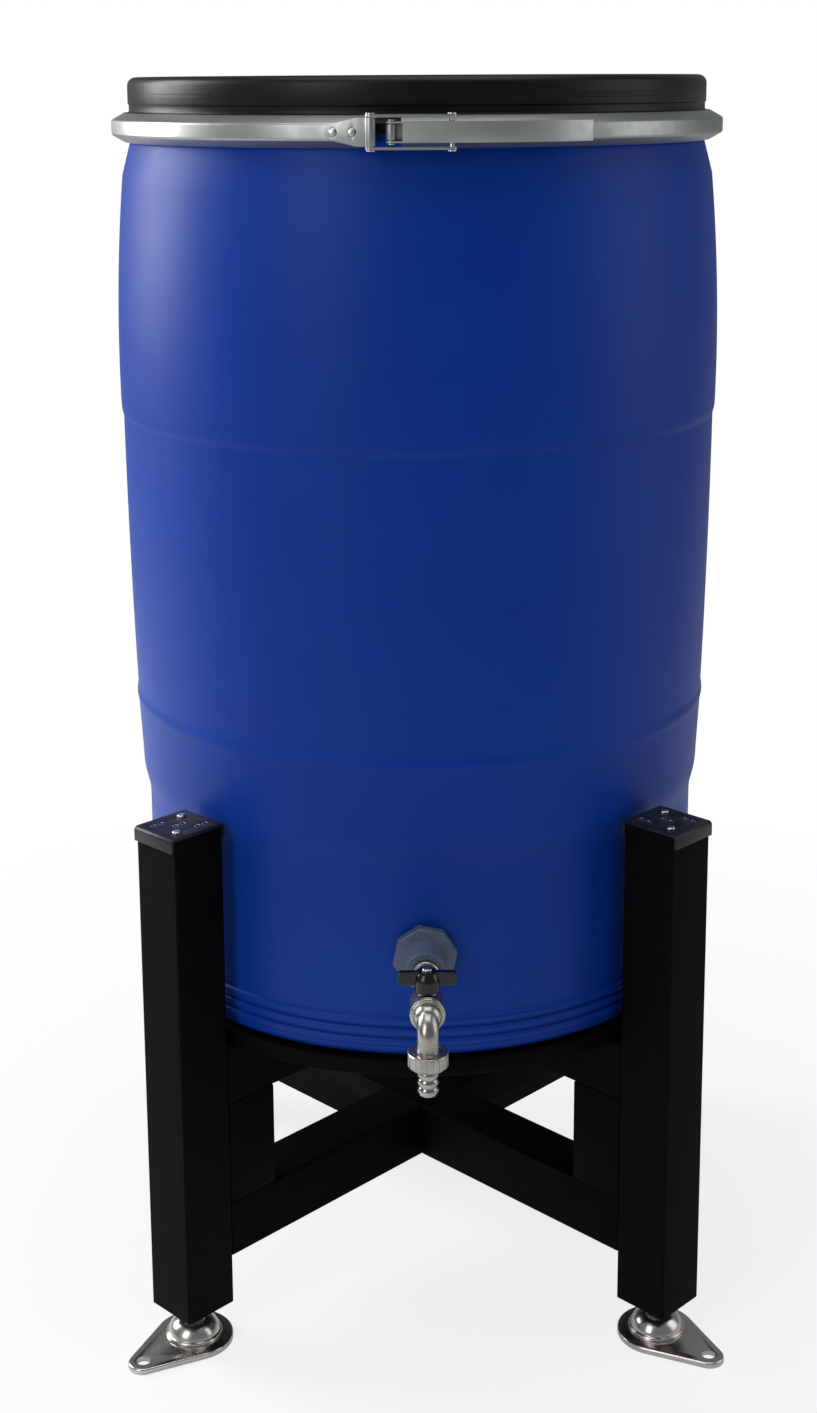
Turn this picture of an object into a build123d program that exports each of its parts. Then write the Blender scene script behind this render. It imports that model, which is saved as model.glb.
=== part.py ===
from build123d import *
import os
from math import cos, radians, sin, sqrt, tan

os.makedirs("parts", exist_ok=True)

# Rainwater tank: an open-top drum with a lid and a lever ring, a tap, and a stand with adjustable feet.
# Millimetres. The origin is on the floor, under the middle of the drum. The tap and the lever face -Y.

# Clearances
running_clearance = 0.05
seat_clearance = 0.3

# Posts
post_side = 58.0
post_edge_radius = 2.5
post_gap = 9.0
post_length = 502.0
floor_gap = 40.0

# Beams of the two crosses
beam_side = 58.0
beam_edge_radius = 2.0
lower_beam_lift = 50.0
tenon_side = 30.0
tenon_length = 18.0

# Base board
board_margin = 6.0
board_thickness = 16.0
board_edge_radius = 1.5
board_underside = 312.0
board_screw_circle = 150.0
board_screw_radius = 2.5
board_screw_head_radius = 5.0
board_screw_length = 45.0

# Post caps
cap_thickness = 3.0
cap_width = 56.0
cap_lip = 11.0
cap_bend_radius = 4.0
cap_screw_reach = 22.0
cap_screw_radius = 2.4
cap_screw_length = 40.0
cap_screw_head_radius = 4.6
cap_screw_head_height = 2.2
cap_hole_radius = 2.2
cap_hole_spacing = 21.0
cap_hole_pair = 9.0

# Feet
plate_thickness = 6.0
plate_radius = 39.0
plate_edge_radius = 2.0
lug_reach = 64.5
lug_radius = 15.0
lug_hole_radius = 7.0
bell_radius = 28.0
bell_rim_height = 5.0
bell_height = 19.0
bell_top_radius = 13.0
ball_foot_radius = 8.0
ball_foot_height = 14.5
stud_radius = 6.0
stud_length = 78.0
lock_nut_width = 19.0
lock_nut_height = 7.0
insert_flange_radius = 16.0
insert_flange_thickness = 3.0
insert_radius = 9.0
insert_depth = 38.0
stud_hole_depth = 70.0

# Drum
drum_wall = 3.6
drum_base_ring_inset = 17.0
drum_base_ring_width = 10.0
drum_base_rise = 5.0
drum_lower_radius = 285.0
rib_proud = 3.0
rib_count = 3
rib_height = 8.4
rib_pitch = 10.5
lowest_rib_lift = 11.0
waist_bottom = 180.0
waist_top = 228.0
waist_gain = 6.2
bead_lift = 293.0
bead_half_height = 9.0
bead_gain = 9.4
bead_proud = 1.4
seam_bottom = 570.0
seam_bottom_gain = 15.3
seam_top = 596.0
seam_top_gain = 17.2
belly_lift = 690.0
belly_gain = 17.0
shoulder_lift = 820.0
shoulder_gain = 8.8
neck_gain = 0.5

# Clamp ring
ring_clearance = 4.5
ring_lift = 866.5
ring_flat = 14.0
ring_flange_run = 12.5
ring_flange_rise = 7.0
ring_thickness = 1.2
ring_bend_radius = 2.6
ring_gap_start = -7.6
ring_gap_end = -3.4

# Rim flanges, gasket and lid
rim_flange_width = 13.0
gasket_thickness = 2.4
gasket_inset = 3.0
lid_wall_gain = 0.9
lid_step = 1.1
lid_step_lift = 21.5
lid_height = 48.0
lid_edge_radius = 8.0
lid_wall = 3.4
lid_rim_width = 24.0
lid_recess = 6.0
lid_skirt_depth = 14.0
lid_line_lift = 32.5
lid_line_gap = 3.4
lid_line_height = 1.1
lid_line_proud = 0.7
lid_line_angle = 20.0
lid_line_middle = 39.0
lid_line_count = 4

# Lever closure
hinge_stand_off = 5.6
hook_pin_angle = -8.2
lever_pin_angle = -4.9
link_pin_angle = 4.75
bracket_height = 24.4
bracket_thickness = 1.8
bracket_start_angle = -15.8
bracket_nose_height = 15.0
bracket_shoulder_angle = -10.6
hook_roll_radius = 5.0
hook_pin_radius = 2.4
tongue_height = 13.0
tongue_thickness = 1.5
tongue_end_angle = 9.5
tongue_roll_radius = 4.6
lever_pin_radius = 2.0
pin_head_radius = 3.5
pin_head_height = 1.4
lever_height = 18.0
lever_sheet = 1.5
lever_ear_radius = 4.9
lever_web_start = -17.0
lever_bend = 35.0
lever_end_angle = 29.0
lever_tip_stand_off = 6.5
lever_inner_clearance = 1.0
lever_corner_radius = 4.0
bar_width = 9.0
bar_thickness = 2.4
link_pin_radius = 2.5
link_head_radius = 4.0
link_head_height = 1.5
rivet_radius = 2.4
rivet_head_radius = 4.2
rivet_head_height = 2.2
rivet_angles = (-14.6, -11.4)
tongue_rivet_angles = (3.0, 7.5)

# Tank connector
tap_axis_lift = 107.0
connector_flange_width = 57.0
connector_turn = 12.0
connector_seat = 3.0
connector_flange_thickness = 11.0
connector_boss_radius = 19.2
connector_boss_length = 28.0
connector_boss_edge = 1.6
connector_shank_radius = 16.5
connector_shank_length = 42.0
wall_hole_radius = 17.0
inner_seat = 3.5
back_nut_width = 50.0
back_nut_thickness = 11.0
connector_gasket_radius = 25.5
thread_radius = 10.2
tap_shank_length = 14.0

# Tap
tap_bore_radius = 6.5
collar_radius = 12.6
collar_length = 6.0
neck_radius_tap = 10.8
chamber_stand_off = 71.0
body_radius = 15.3
tap_ball_radius = 10.0
chamber_radius = 12.9
chamber_half_length = 10.6
seat_inner_radius = 7.9
seat_thickness = 4.0
body_wall_back = 3.0
spigot_length = 3.0
spout_collar_radius = 15.8
spout_collar_length = 3.6
spout_radius = 9.7
spout_bend_radius = 14.0
bonnet_radius = 8.6
bonnet_height = 16.5
spindle_radius = 4.0
spindle_tang = 3.0
spindle_tang_length = 7.0
packing_nut_width = 12.6
packing_nut_height = 4.5
handle_span = 52.0
handle_wing_height = 12.0
handle_wing_thickness = 7.5
handle_wing_drop = 0.5
handle_hub_radius = 8.8
handle_hub_height = 18.0
handle_screw_radius = 2.0
handle_screw_head_radius = 4.4
handle_screw_head_height = 2.6
handle_screw_length = 10.0

# Hose union
union_top_lift = 81.0
union_height = 15.5
union_radius = 18.0
union_flute_radius = 1.5
union_flute_count = 20
union_floor = 3.5
union_taper = 3.5
spout_thread_radius = 13.0
spout_thread_length = 9.0
hose_washer_thickness = 2.0
tail_radius = 8.0
tail_ridge_radius = 9.3
tail_ridge_count = 3
tail_ridge_pitch = 7.6
tail_bore_radius = 6.5
tail_flange_radius = 12.4
tail_flange_thickness = 2.0
tail_drop = 40.0

# Heights and places that follow from the sizes above
waist_radius = drum_lower_radius + waist_gain
bead_radius = drum_lower_radius + bead_gain
seam_bottom_radius = drum_lower_radius + seam_bottom_gain
seam_top_radius = drum_lower_radius + seam_top_gain
belly_radius = drum_lower_radius + belly_gain
shoulder_radius = drum_lower_radius + shoulder_gain
neck_radius = drum_lower_radius + neck_gain
rim_flange_radius = neck_radius + rim_flange_width
ring_radius = rim_flange_radius + ring_clearance
lid_wall_radius = neck_radius + lid_wall_gain
hinge_circle = ring_radius + hinge_stand_off
lever_tip_radius = ring_radius + lever_tip_stand_off
lever_inner_radius = ring_radius + lever_inner_clearance
drum_base_ring_radius = drum_lower_radius - drum_base_ring_inset
drum_base_inner_radius = drum_base_ring_radius - drum_base_ring_width
board_radius = drum_lower_radius + board_margin
post_circle_radius = board_radius + post_gap + post_side / 2
post_top = floor_gap + post_length
lower_beam_z = floor_gap + lower_beam_lift
upper_beam_z = board_underside - beam_side
drum_base_z = board_underside + board_thickness
rib_zone_top = lowest_rib_lift + rib_count * rib_pitch
ring_z = drum_base_z + ring_lift
flange_slope = ring_flange_rise / ring_flange_run
flange_slant = sqrt(1 + flange_slope**2)
flange_gap = (ring_thickness + seat_clearance) * flange_slant
rim_top_z = ring_z - gasket_thickness / 2
lid_flange_z = ring_z + gasket_thickness / 2
lid_top_z = ring_z + lid_height
tap_z = drum_base_z + tap_axis_lift
connector_back = drum_lower_radius + connector_seat
connector_face = connector_back + connector_flange_thickness
boss_face = connector_face + connector_boss_length
chamber_reach = boss_face + chamber_stand_off
spout_reach = (
    chamber_reach + chamber_half_length + spigot_length + spout_collar_length + spout_bend_radius
)
union_top_z = drum_base_z + union_top_lift
post_angles = {"rear_right": 45, "rear_left": 135, "front_left": 225, "front_right": 315}


def direction(angle):
    """Give the level unit vector at an angle from +X."""
    return Vector(cos(radians(angle)), sin(radians(angle)), 0)


def on_circle(radius, front_angle):
    """Give the XY point at an angle from the front, positive towards +X."""
    turn = radians(front_angle)
    return (radius * sin(turn), -radius * cos(turn))


def front_facing(front_angle, reach, height):
    """Give the upright plane that faces outwards at an angle from the front."""
    x, y = on_circle(reach, front_angle)
    outward = direction(front_angle - 90)
    return Plane(origin=(x, y, height), x_dir=(-outward.Y, outward.X, 0), z_dir=outward)


def radial_section(front_angle):
    """Give the upright plane through the drum's axis whose x runs outwards."""
    outward = direction(front_angle - 90)
    return Plane(origin=(0, 0, 0), x_dir=outward, z_dir=(outward.Y, -outward.X, 0))


def post_plane(angle, height):
    """Give the level plane at a post's axis whose x runs outwards."""
    outward = direction(angle)
    return Plane(origin=outward * post_circle_radius + Vector(0, 0, height), x_dir=outward)


def level(height):
    """Give the level plane at a height above the floor."""
    return Plane.XY.offset(height)


# Posts: square bars on the diagonals, with mortises for the beams and a bored foot
for corner, angle in post_angles.items():
    inner_face = direction(angle) * (post_circle_radius - post_side / 2)
    with BuildPart() as post:
        with BuildSketch(post_plane(angle, floor_gap)):
            RectangleRounded(post_side, post_side, post_edge_radius)
        extrude(amount=post_length)
        for beam_z in (lower_beam_z, upper_beam_z):
            mortise_centre = inner_face + Vector(0, 0, beam_z + beam_side / 2)
            with BuildSketch(Plane(origin=mortise_centre, x_dir=(0, 0, 1), z_dir=direction(angle))):
                Rectangle(tenon_side, tenon_side)
            extrude(amount=tenon_length + seat_clearance, mode=Mode.SUBTRACT)
        with BuildSketch(post_plane(angle, floor_gap)):
            Circle(insert_radius)
        extrude(amount=insert_depth, mode=Mode.SUBTRACT)
        with BuildSketch(post_plane(angle, floor_gap + insert_depth)):
            Circle(stud_radius + seat_clearance)
        extrude(amount=stud_hole_depth - insert_depth, mode=Mode.SUBTRACT)
        with BuildSketch(level(post_top)):
            with Locations(post_plane(angle, 0).origin):
                with Locations((0, cap_screw_reach), (0, -cap_screw_reach)):
                    Circle(cap_screw_radius)
        extrude(amount=-cap_screw_length, mode=Mode.SUBTRACT)
    post.part.label = f"{corner}_post"
    export_step(post.part, f"parts/{corner}_post.step")

# Post caps: a strip bent down over the outer and inner faces, with two screw holes and three pairs of holes
cap_span = post_side + 2 * (seat_clearance + cap_thickness)
for corner, angle in post_angles.items():
    outward = direction(angle)
    cap_centre = outward * post_circle_radius
    with BuildPart() as cap:
        with BuildSketch(
            Plane(
                origin=cap_centre + Vector(0, 0, post_top),
                x_dir=outward,
                z_dir=(outward.Y, -outward.X, 0),
            )
        ):
            with Locations((0, (cap_thickness - cap_lip) / 2)):
                Rectangle(cap_span, cap_thickness + cap_lip)
            with Locations((0, -cap_lip / 2)):
                Rectangle(post_side + 2 * seat_clearance, cap_lip, mode=Mode.SUBTRACT)
        extrude(amount=cap_width / 2, both=True)
        top_edges = cap.edges().filter_by(Plane.XY).group_by(Axis.Z)[-1]
        bends = [edge for edge in top_edges if abs(edge.tangent_at(0).dot(outward)) < 0.5]
        fillet(bends, radius=cap_bend_radius)
        with BuildSketch(level(post_top + cap_thickness)):
            with Locations(cap_centre):
                with Locations((0, cap_screw_reach), (0, -cap_screw_reach)):
                    Circle(cap_screw_radius)
                with GridLocations(cap_hole_spacing, 0, 3, 1):
                    with Locations(outward * (cap_hole_pair / 2), outward * (-cap_hole_pair / 2)):
                        Circle(cap_hole_radius)
        extrude(amount=-cap_thickness, mode=Mode.SUBTRACT)
    cap.part.label = f"{corner}_cap"
    export_step(cap.part, f"parts/{corner}_cap.step")

# Cap screws: two domed screws in each cap
with BuildPart() as cap_screws:
    for angle in post_angles.values():
        with BuildSketch(level(post_top + cap_thickness)):
            with Locations(direction(angle) * post_circle_radius):
                with Locations((0, cap_screw_reach), (0, -cap_screw_reach)):
                    Circle(cap_screw_head_radius)
        extrude(amount=cap_screw_head_height)
        with BuildSketch(level(post_top + cap_thickness)):
            with Locations(direction(angle) * post_circle_radius):
                with Locations((0, cap_screw_reach), (0, -cap_screw_reach)):
                    Circle(cap_screw_radius)
        extrude(amount=-cap_screw_length)
    head_rims = cap_screws.edges().filter_by(GeomType.CIRCLE).group_by(Axis.Z)[-1]
    fillet(head_rims, radius=cap_screw_head_height * 0.8)
cap_screws.part.label = "cap_screws"
export_step(cap_screws.part, "parts/cap_screws.step")

# Beams: each cross is two bars halved into each other, with stub tenons in the posts
beam_span = 2 * post_circle_radius - post_side
crosses = {"lower": lower_beam_z, "upper": upper_beam_z}
for cross, beam_z in crosses.items():
    for name, angle, notch_from_top in (("long", 45, True), ("cross", 135, False)):
        along = direction(angle)
        beam_axis = Plane(
            origin=along * (-beam_span / 2) + Vector(0, 0, beam_z + beam_side / 2),
            x_dir=(0, 0, 1),
            z_dir=along,
        )
        with BuildPart() as beam:
            with BuildSketch(beam_axis):
                RectangleRounded(beam_side, beam_side, beam_edge_radius)
            extrude(amount=beam_span)
            with BuildSketch(beam_axis.offset(-tenon_length)):
                Rectangle(tenon_side, tenon_side)
            extrude(amount=beam_span + 2 * tenon_length)
            notch_z = beam_z + beam_side / 2 if notch_from_top else beam_z
            with BuildSketch(Plane(origin=(0, 0, notch_z), x_dir=along)):
                Rectangle(beam_side + running_clearance, beam_side)
            extrude(amount=beam_side / 2, mode=Mode.SUBTRACT)
            if cross == "upper":
                with BuildSketch(level(board_underside)):
                    with Locations(along * board_screw_circle, along * -board_screw_circle):
                        Circle(board_screw_radius)
                extrude(amount=board_thickness - board_screw_length, mode=Mode.SUBTRACT)
        beam.part.label = f"{cross}_beam_{name}"
        export_step(beam.part, f"parts/{cross}_beam_{name}.step")

# Base board: a round board on the upper cross, with four countersunk holes
board_screw_places = [direction(angle) * board_screw_circle for angle in post_angles.values()]
with BuildPart() as base_board:
    with BuildSketch(level(board_underside)):
        Circle(board_radius)
    extrude(amount=board_thickness)
    fillet(base_board.edges().filter_by(GeomType.CIRCLE), radius=board_edge_radius)
    with Locations(level(drum_base_z)):
        with Locations(*board_screw_places):
            CounterSinkHole(
                radius=board_screw_radius,
                counter_sink_radius=board_screw_head_radius,
                counter_sink_angle=90,
            )
base_board.part.label = "base_board"
export_step(base_board.part, "parts/base_board.step")

with BuildPart() as board_screws:
    with BuildSketch(level(drum_base_z)):
        with Locations(*board_screw_places):
            Circle(board_screw_head_radius)
    extrude(amount=board_screw_radius - board_screw_head_radius, taper=45)
    with BuildSketch(level(drum_base_z)):
        with Locations(*board_screw_places):
            Circle(board_screw_radius)
    extrude(amount=-board_screw_length)
board_screws.part.label = "board_screws"
export_step(board_screws.part, "parts/board_screws.step")

# Feet: threaded insert, stud with a ball end, lock nut, and a lug plate with a domed bell
with BuildPart() as foot_inserts:
    for angle in post_angles.values():
        with BuildSketch(post_plane(angle, floor_gap - insert_flange_thickness)):
            Circle(insert_flange_radius)
        extrude(amount=insert_flange_thickness)
        with BuildSketch(post_plane(angle, floor_gap)):
            Circle(insert_radius)
        extrude(amount=insert_depth)
    for angle in post_angles.values():
        with BuildSketch(post_plane(angle, floor_gap - insert_flange_thickness)):
            Circle(stud_radius + running_clearance)
        extrude(amount=insert_flange_thickness + insert_depth, mode=Mode.SUBTRACT)
foot_inserts.part.label = "foot_inserts"
export_step(foot_inserts.part, "parts/foot_inserts.step")

bell_top_z = plate_thickness + bell_height
socket_radius = ball_foot_radius + seat_clearance
for corner, angle in post_angles.items():
    stud_axis = Axis(post_plane(angle, 0).origin, (0, 0, 1))
    stud_section = Plane(
        origin=post_plane(angle, 0).origin,
        x_dir=direction(angle),
        z_dir=(direction(angle).Y, -direction(angle).X, 0),
    )
    with BuildPart() as foot_stud:
        with BuildSketch(post_plane(angle, ball_foot_height)):
            Circle(stud_radius)
        extrude(amount=stud_length)
        chamfer(foot_stud.edges().group_by(Axis.Z)[-1], length=1)
        with Locations(post_plane(angle, ball_foot_height)):
            Sphere(ball_foot_radius)
    foot_stud.part.label = f"{corner}_foot_stud"
    export_step(foot_stud.part, f"parts/{corner}_foot_stud.step")

    with BuildPart() as lock_nut:
        with BuildSketch(post_plane(angle, floor_gap - insert_flange_thickness - lock_nut_height)):
            RegularPolygon(lock_nut_width / 2, 6, major_radius=False)
            Circle(stud_radius, mode=Mode.SUBTRACT)
        extrude(amount=lock_nut_height)
    lock_nut.part.label = f"{corner}_lock_nut"
    export_step(lock_nut.part, f"parts/{corner}_lock_nut.step")

    with BuildPart() as foot_plate:
        with BuildSketch(post_plane(angle, 0)):
            Circle(plate_radius)
            with Locations((lug_reach, 0)):
                Circle(lug_radius)
            make_hull()
        extrude(amount=plate_thickness)
        fillet(foot_plate.edges().group_by(Axis.Z)[-1], radius=plate_edge_radius)
        with BuildSketch(stud_section):
            with BuildLine():
                Polyline(
                    (0, plate_thickness),
                    (bell_radius, plate_thickness),
                    (bell_radius, plate_thickness + bell_rim_height / 2),
                )
                ThreePointArc(
                    (bell_radius, plate_thickness + bell_rim_height / 2),
                    (bell_radius - 0.6, plate_thickness + 0.85 * bell_rim_height),
                    (bell_radius - 2, plate_thickness + bell_rim_height),
                )
                ThreePointArc(
                    (bell_radius - 2, plate_thickness + bell_rim_height),
                    (0.52 * (bell_radius + bell_top_radius), plate_thickness + 0.72 * bell_height),
                    (bell_top_radius, bell_top_z),
                )
                Polyline((bell_top_radius, bell_top_z), (0, bell_top_z), (0, plate_thickness))
            make_face()
        revolve(axis=stud_axis)
        with Locations(post_plane(angle, ball_foot_height)):
            Sphere(socket_radius, mode=Mode.SUBTRACT)
        with BuildSketch(post_plane(angle, ball_foot_height)):
            Circle(stud_radius + 1)
        extrude(amount=bell_height, mode=Mode.SUBTRACT)
        with BuildSketch(post_plane(angle, 0)):
            with Locations((lug_reach, 0)):
                Circle(lug_hole_radius)
        extrude(amount=plate_thickness, mode=Mode.SUBTRACT)
    foot_plate.part.label = f"{corner}_foot_plate"
    export_step(foot_plate.part, f"parts/{corner}_foot_plate.step")


# Drum: one blown shell with ribs at the foot, a waist, two seams, a belly, a shoulder and a rim flange
def draw_drum_side(inset):
    """Draw the drum's side from the ribs to the neck, moved inwards by inset."""
    base = drum_base_z
    lower = drum_lower_radius - inset
    Line((lower, base + rib_zone_top), (lower, base + waist_bottom))
    waist_middle = base + (waist_bottom + waist_top) / 2
    Bezier(
        (lower, base + waist_bottom),
        (lower, waist_middle),
        (waist_radius - inset, waist_middle),
        (waist_radius - inset, base + waist_top),
    )
    Line((waist_radius - inset, base + waist_top), (bead_radius - inset, base + bead_lift - bead_half_height))
    ThreePointArc(
        (bead_radius - inset, base + bead_lift - bead_half_height),
        (bead_radius + bead_proud - inset, base + bead_lift),
        (bead_radius - inset, base + bead_lift + bead_half_height),
    )
    ThreePointArc(
        (bead_radius - inset, base + bead_lift + bead_half_height),
        (
            (bead_radius + seam_bottom_radius) / 2 + bead_proud / 2 - inset,
            base + (bead_lift + bead_half_height + seam_bottom) / 2,
        ),
        (seam_bottom_radius - inset, base + seam_bottom),
    )
    Line((seam_bottom_radius - inset, base + seam_bottom), (seam_top_radius - inset, base + seam_top))
    ThreePointArc(
        (seam_top_radius - inset, base + seam_top),
        (belly_radius - inset, base + belly_lift),
        (shoulder_radius - inset, base + shoulder_lift),
    )


neck_foot_z = ring_z - ring_flat / 2 - (ring_radius - neck_radius) * flange_slope + flange_gap
rim_foot_z = ring_z - ring_flat / 2 - (ring_radius - rim_flange_radius) * flange_slope + flange_gap
with BuildPart() as drum_shell:
    with BuildSketch(Plane.XZ):
        with BuildLine():
            Polyline(
                (0, drum_base_z + drum_base_rise),
                (drum_base_inner_radius - drum_base_rise, drum_base_z + drum_base_rise),
                (drum_base_inner_radius, drum_base_z),
                (drum_base_ring_radius, drum_base_z),
            )
            foot_turn = Bezier(
                (drum_base_ring_radius, drum_base_z),
                (drum_lower_radius - 0.4 * lowest_rib_lift, drum_base_z),
                (drum_lower_radius, drum_base_z + 0.3 * lowest_rib_lift),
                (drum_lower_radius, drum_base_z + lowest_rib_lift),
            )
            rib_start = foot_turn @ 1
            for rib in range(rib_count):
                rib_bottom = drum_base_z + lowest_rib_lift + rib * rib_pitch
                Line(rib_start, (drum_lower_radius, rib_bottom + rib_pitch - rib_height))
                rib_curve = ThreePointArc(
                    (drum_lower_radius, rib_bottom + rib_pitch - rib_height),
                    (drum_lower_radius + rib_proud, rib_bottom + rib_pitch - rib_height / 2),
                    (drum_lower_radius, rib_bottom + rib_pitch),
                )
                rib_start = rib_curve @ 1
            draw_drum_side(0)
            Polyline(
                (shoulder_radius, drum_base_z + shoulder_lift),
                (neck_radius, neck_foot_z),
                (rim_flange_radius, rim_foot_z),
                (rim_flange_radius, rim_top_z),
                (0, rim_top_z),
                (0, drum_base_z + drum_base_rise),
            )
        make_face()
    revolve(axis=Axis.Z)
    with BuildSketch(Plane.XZ):
        with BuildLine():
            Polyline(
                (0, drum_base_z + drum_base_rise + drum_wall),
                (drum_base_inner_radius - drum_base_rise, drum_base_z + drum_base_rise + drum_wall),
                (drum_base_inner_radius, drum_base_z + drum_wall),
                (drum_base_ring_radius, drum_base_z + drum_wall),
                (drum_lower_radius - drum_wall, drum_base_z + lowest_rib_lift + drum_wall),
                (drum_lower_radius - drum_wall, drum_base_z + rib_zone_top),
            )
            draw_drum_side(drum_wall)
            Polyline(
                (shoulder_radius - drum_wall, drum_base_z + shoulder_lift),
                (neck_radius - drum_wall, neck_foot_z),
                (neck_radius - drum_wall, rim_top_z),
                (0, rim_top_z),
                (0, drum_base_z + drum_base_rise + drum_wall),
            )
        make_face()
    revolve(axis=Axis.Z, mode=Mode.SUBTRACT)
    with BuildSketch(front_facing(0, drum_lower_radius - 2 * drum_wall, tap_z)):
        Circle(wall_hole_radius)
    extrude(amount=3 * drum_wall, mode=Mode.SUBTRACT)
drum_shell.part.label = "drum_shell"
export_step(drum_shell.part, "parts/drum_shell.step")

# Lid: a moulded cap with a flange under the ring, a plug skirt, a step and pairs of raised lines
flange_top_z = ring_z + ring_flat / 2 + (ring_radius - rim_flange_radius) * flange_slope - flange_gap
lid_root_radius = lid_wall_radius - lid_step
lid_root_z = ring_z + ring_flat / 2 + (ring_radius - lid_root_radius) * flange_slope - flange_gap
skirt_radius = neck_radius - drum_wall - 2 * seat_clearance
with BuildPart() as drum_lid:
    with BuildSketch(Plane.XZ):
        with BuildLine():
            Polyline(
                (0, lid_top_z - lid_recess),
                (lid_wall_radius - lid_rim_width - lid_recess, lid_top_z - lid_recess),
                (lid_wall_radius - lid_rim_width, lid_top_z),
                (lid_wall_radius - lid_edge_radius, lid_top_z),
            )
            top_turn = CenterArc(
                (lid_wall_radius - lid_edge_radius, lid_top_z - lid_edge_radius),
                lid_edge_radius,
                0,
                90,
            )
            Polyline(
                (lid_wall_radius, lid_top_z - lid_edge_radius),
                (lid_wall_radius, ring_z + lid_step_lift + lid_step),
                (lid_root_radius, ring_z + lid_step_lift),
                (lid_root_radius, lid_root_z),
                (rim_flange_radius, flange_top_z),
                (rim_flange_radius, lid_flange_z),
                (skirt_radius, lid_flange_z),
                (skirt_radius, lid_flange_z - lid_skirt_depth),
                (skirt_radius - lid_wall, lid_flange_z - lid_skirt_depth),
                (skirt_radius - lid_wall, lid_top_z - 2 * lid_edge_radius),
                (skirt_radius - 2 * lid_edge_radius, lid_top_z - lid_wall - lid_recess / 2),
                (lid_wall_radius - lid_rim_width, lid_top_z - lid_wall - lid_recess),
                (0, lid_top_z - lid_wall - lid_recess),
                (0, lid_top_z - lid_recess),
            )
        make_face()
    revolve(axis=Axis.Z)
    for line_height in (lid_line_lift, lid_line_lift - lid_line_gap):
        for turn in range(lid_line_count):
            start_angle = lid_line_middle - lid_line_angle / 2 + turn * 360 / lid_line_count
            with BuildSketch(radial_section(start_angle)):
                with Locations((lid_wall_radius, ring_z + line_height)):
                    Rectangle(2 * lid_line_proud, lid_line_height)
            revolve(axis=Axis.Z, revolution_arc=lid_line_angle)
drum_lid.part.label = "drum_lid"
export_step(drum_lid.part, "parts/drum_lid.step")

with BuildPart() as lid_gasket:
    with BuildSketch(level(rim_top_z)):
        Circle(rim_flange_radius - gasket_inset)
        Circle(skirt_radius + seat_clearance, mode=Mode.SUBTRACT)
    extrude(amount=gasket_thickness)
lid_gasket.part.label = "lid_gasket"
export_step(lid_gasket.part, "parts/lid_gasket.step")

# Clamp ring: a rolled channel, open at the front between its two brackets
with BuildPart() as clamp_ring:
    with BuildSketch(radial_section(ring_gap_end)):
        with BuildLine():
            FilletPolyline(
                (ring_radius - ring_flange_run, ring_z - ring_flat / 2 - ring_flange_rise),
                (ring_radius, ring_z - ring_flat / 2),
                (ring_radius, ring_z + ring_flat / 2),
                (ring_radius - ring_flange_run, ring_z + ring_flat / 2 + ring_flange_rise),
                radius=ring_bend_radius,
            )
            offset(amount=ring_thickness, side=Side.LEFT)
        make_face()
    revolve(axis=Axis.Z, revolution_arc=360 - ring_gap_end + ring_gap_start)
clamp_ring.part.label = "clamp_ring"
export_step(clamp_ring.part, "parts/clamp_ring.step")

# Lever closure: brackets, pins, lever and link bars
hook_pin_place = on_circle(hinge_circle, hook_pin_angle)
lever_pin_place = on_circle(hinge_circle, lever_pin_angle)
link_pin_place = on_circle(hinge_circle, link_pin_angle)


def draw_strip(inner_radius, thickness, start_angle, end_angle):
    """Draw a curved sheet strip that lies on the ring, seen from above."""
    outer_arc = CenterArc((0, 0), inner_radius + thickness, start_angle - 90, end_angle - start_angle)
    inner_arc = CenterArc((0, 0), inner_radius, start_angle - 90, end_angle - start_angle)
    Line(outer_arc @ 0, inner_arc @ 0)
    Line(outer_arc @ 1, inner_arc @ 1)


with BuildPart() as hook_bracket:
    with BuildSketch(level(ring_z - bracket_height / 2)):
        with BuildLine():
            draw_strip(ring_radius, bracket_thickness, bracket_start_angle, hook_pin_angle)
        make_face()
        with Locations(hook_pin_place):
            Circle(hook_roll_radius)
            Circle(hook_pin_radius, mode=Mode.SUBTRACT)
    extrude(amount=bracket_height)
    nose = ring_radius * tan(radians(bracket_start_angle - hook_pin_angle))
    shoulder = ring_radius * tan(radians(bracket_shoulder_angle - hook_pin_angle))
    with BuildSketch(front_facing(hook_pin_angle, ring_radius - 3 * bracket_thickness, ring_z)):
        with BuildLine():
            Polyline(
                (nose + bracket_nose_height / 2, -bracket_nose_height / 2),
                (shoulder, -bracket_height / 2),
                (2 * hook_roll_radius, -bracket_height / 2),
                (2 * hook_roll_radius, bracket_height / 2),
                (shoulder, bracket_height / 2),
                (nose + bracket_nose_height / 2, bracket_nose_height / 2),
            )
            ThreePointArc(
                (nose + bracket_nose_height / 2, bracket_nose_height / 2),
                (nose, 0),
                (nose + bracket_nose_height / 2, -bracket_nose_height / 2),
            )
        make_face()
    extrude(amount=6 * hook_roll_radius, mode=Mode.INTERSECT)
    for rivet_angle in rivet_angles:
        with BuildSketch(front_facing(rivet_angle, ring_radius, ring_z)):
            Circle(rivet_radius)
        extrude(amount=bracket_thickness * 1.5, mode=Mode.SUBTRACT)
hook_bracket.part.label = "hook_bracket"
export_step(hook_bracket.part, "parts/hook_bracket.step")

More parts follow.
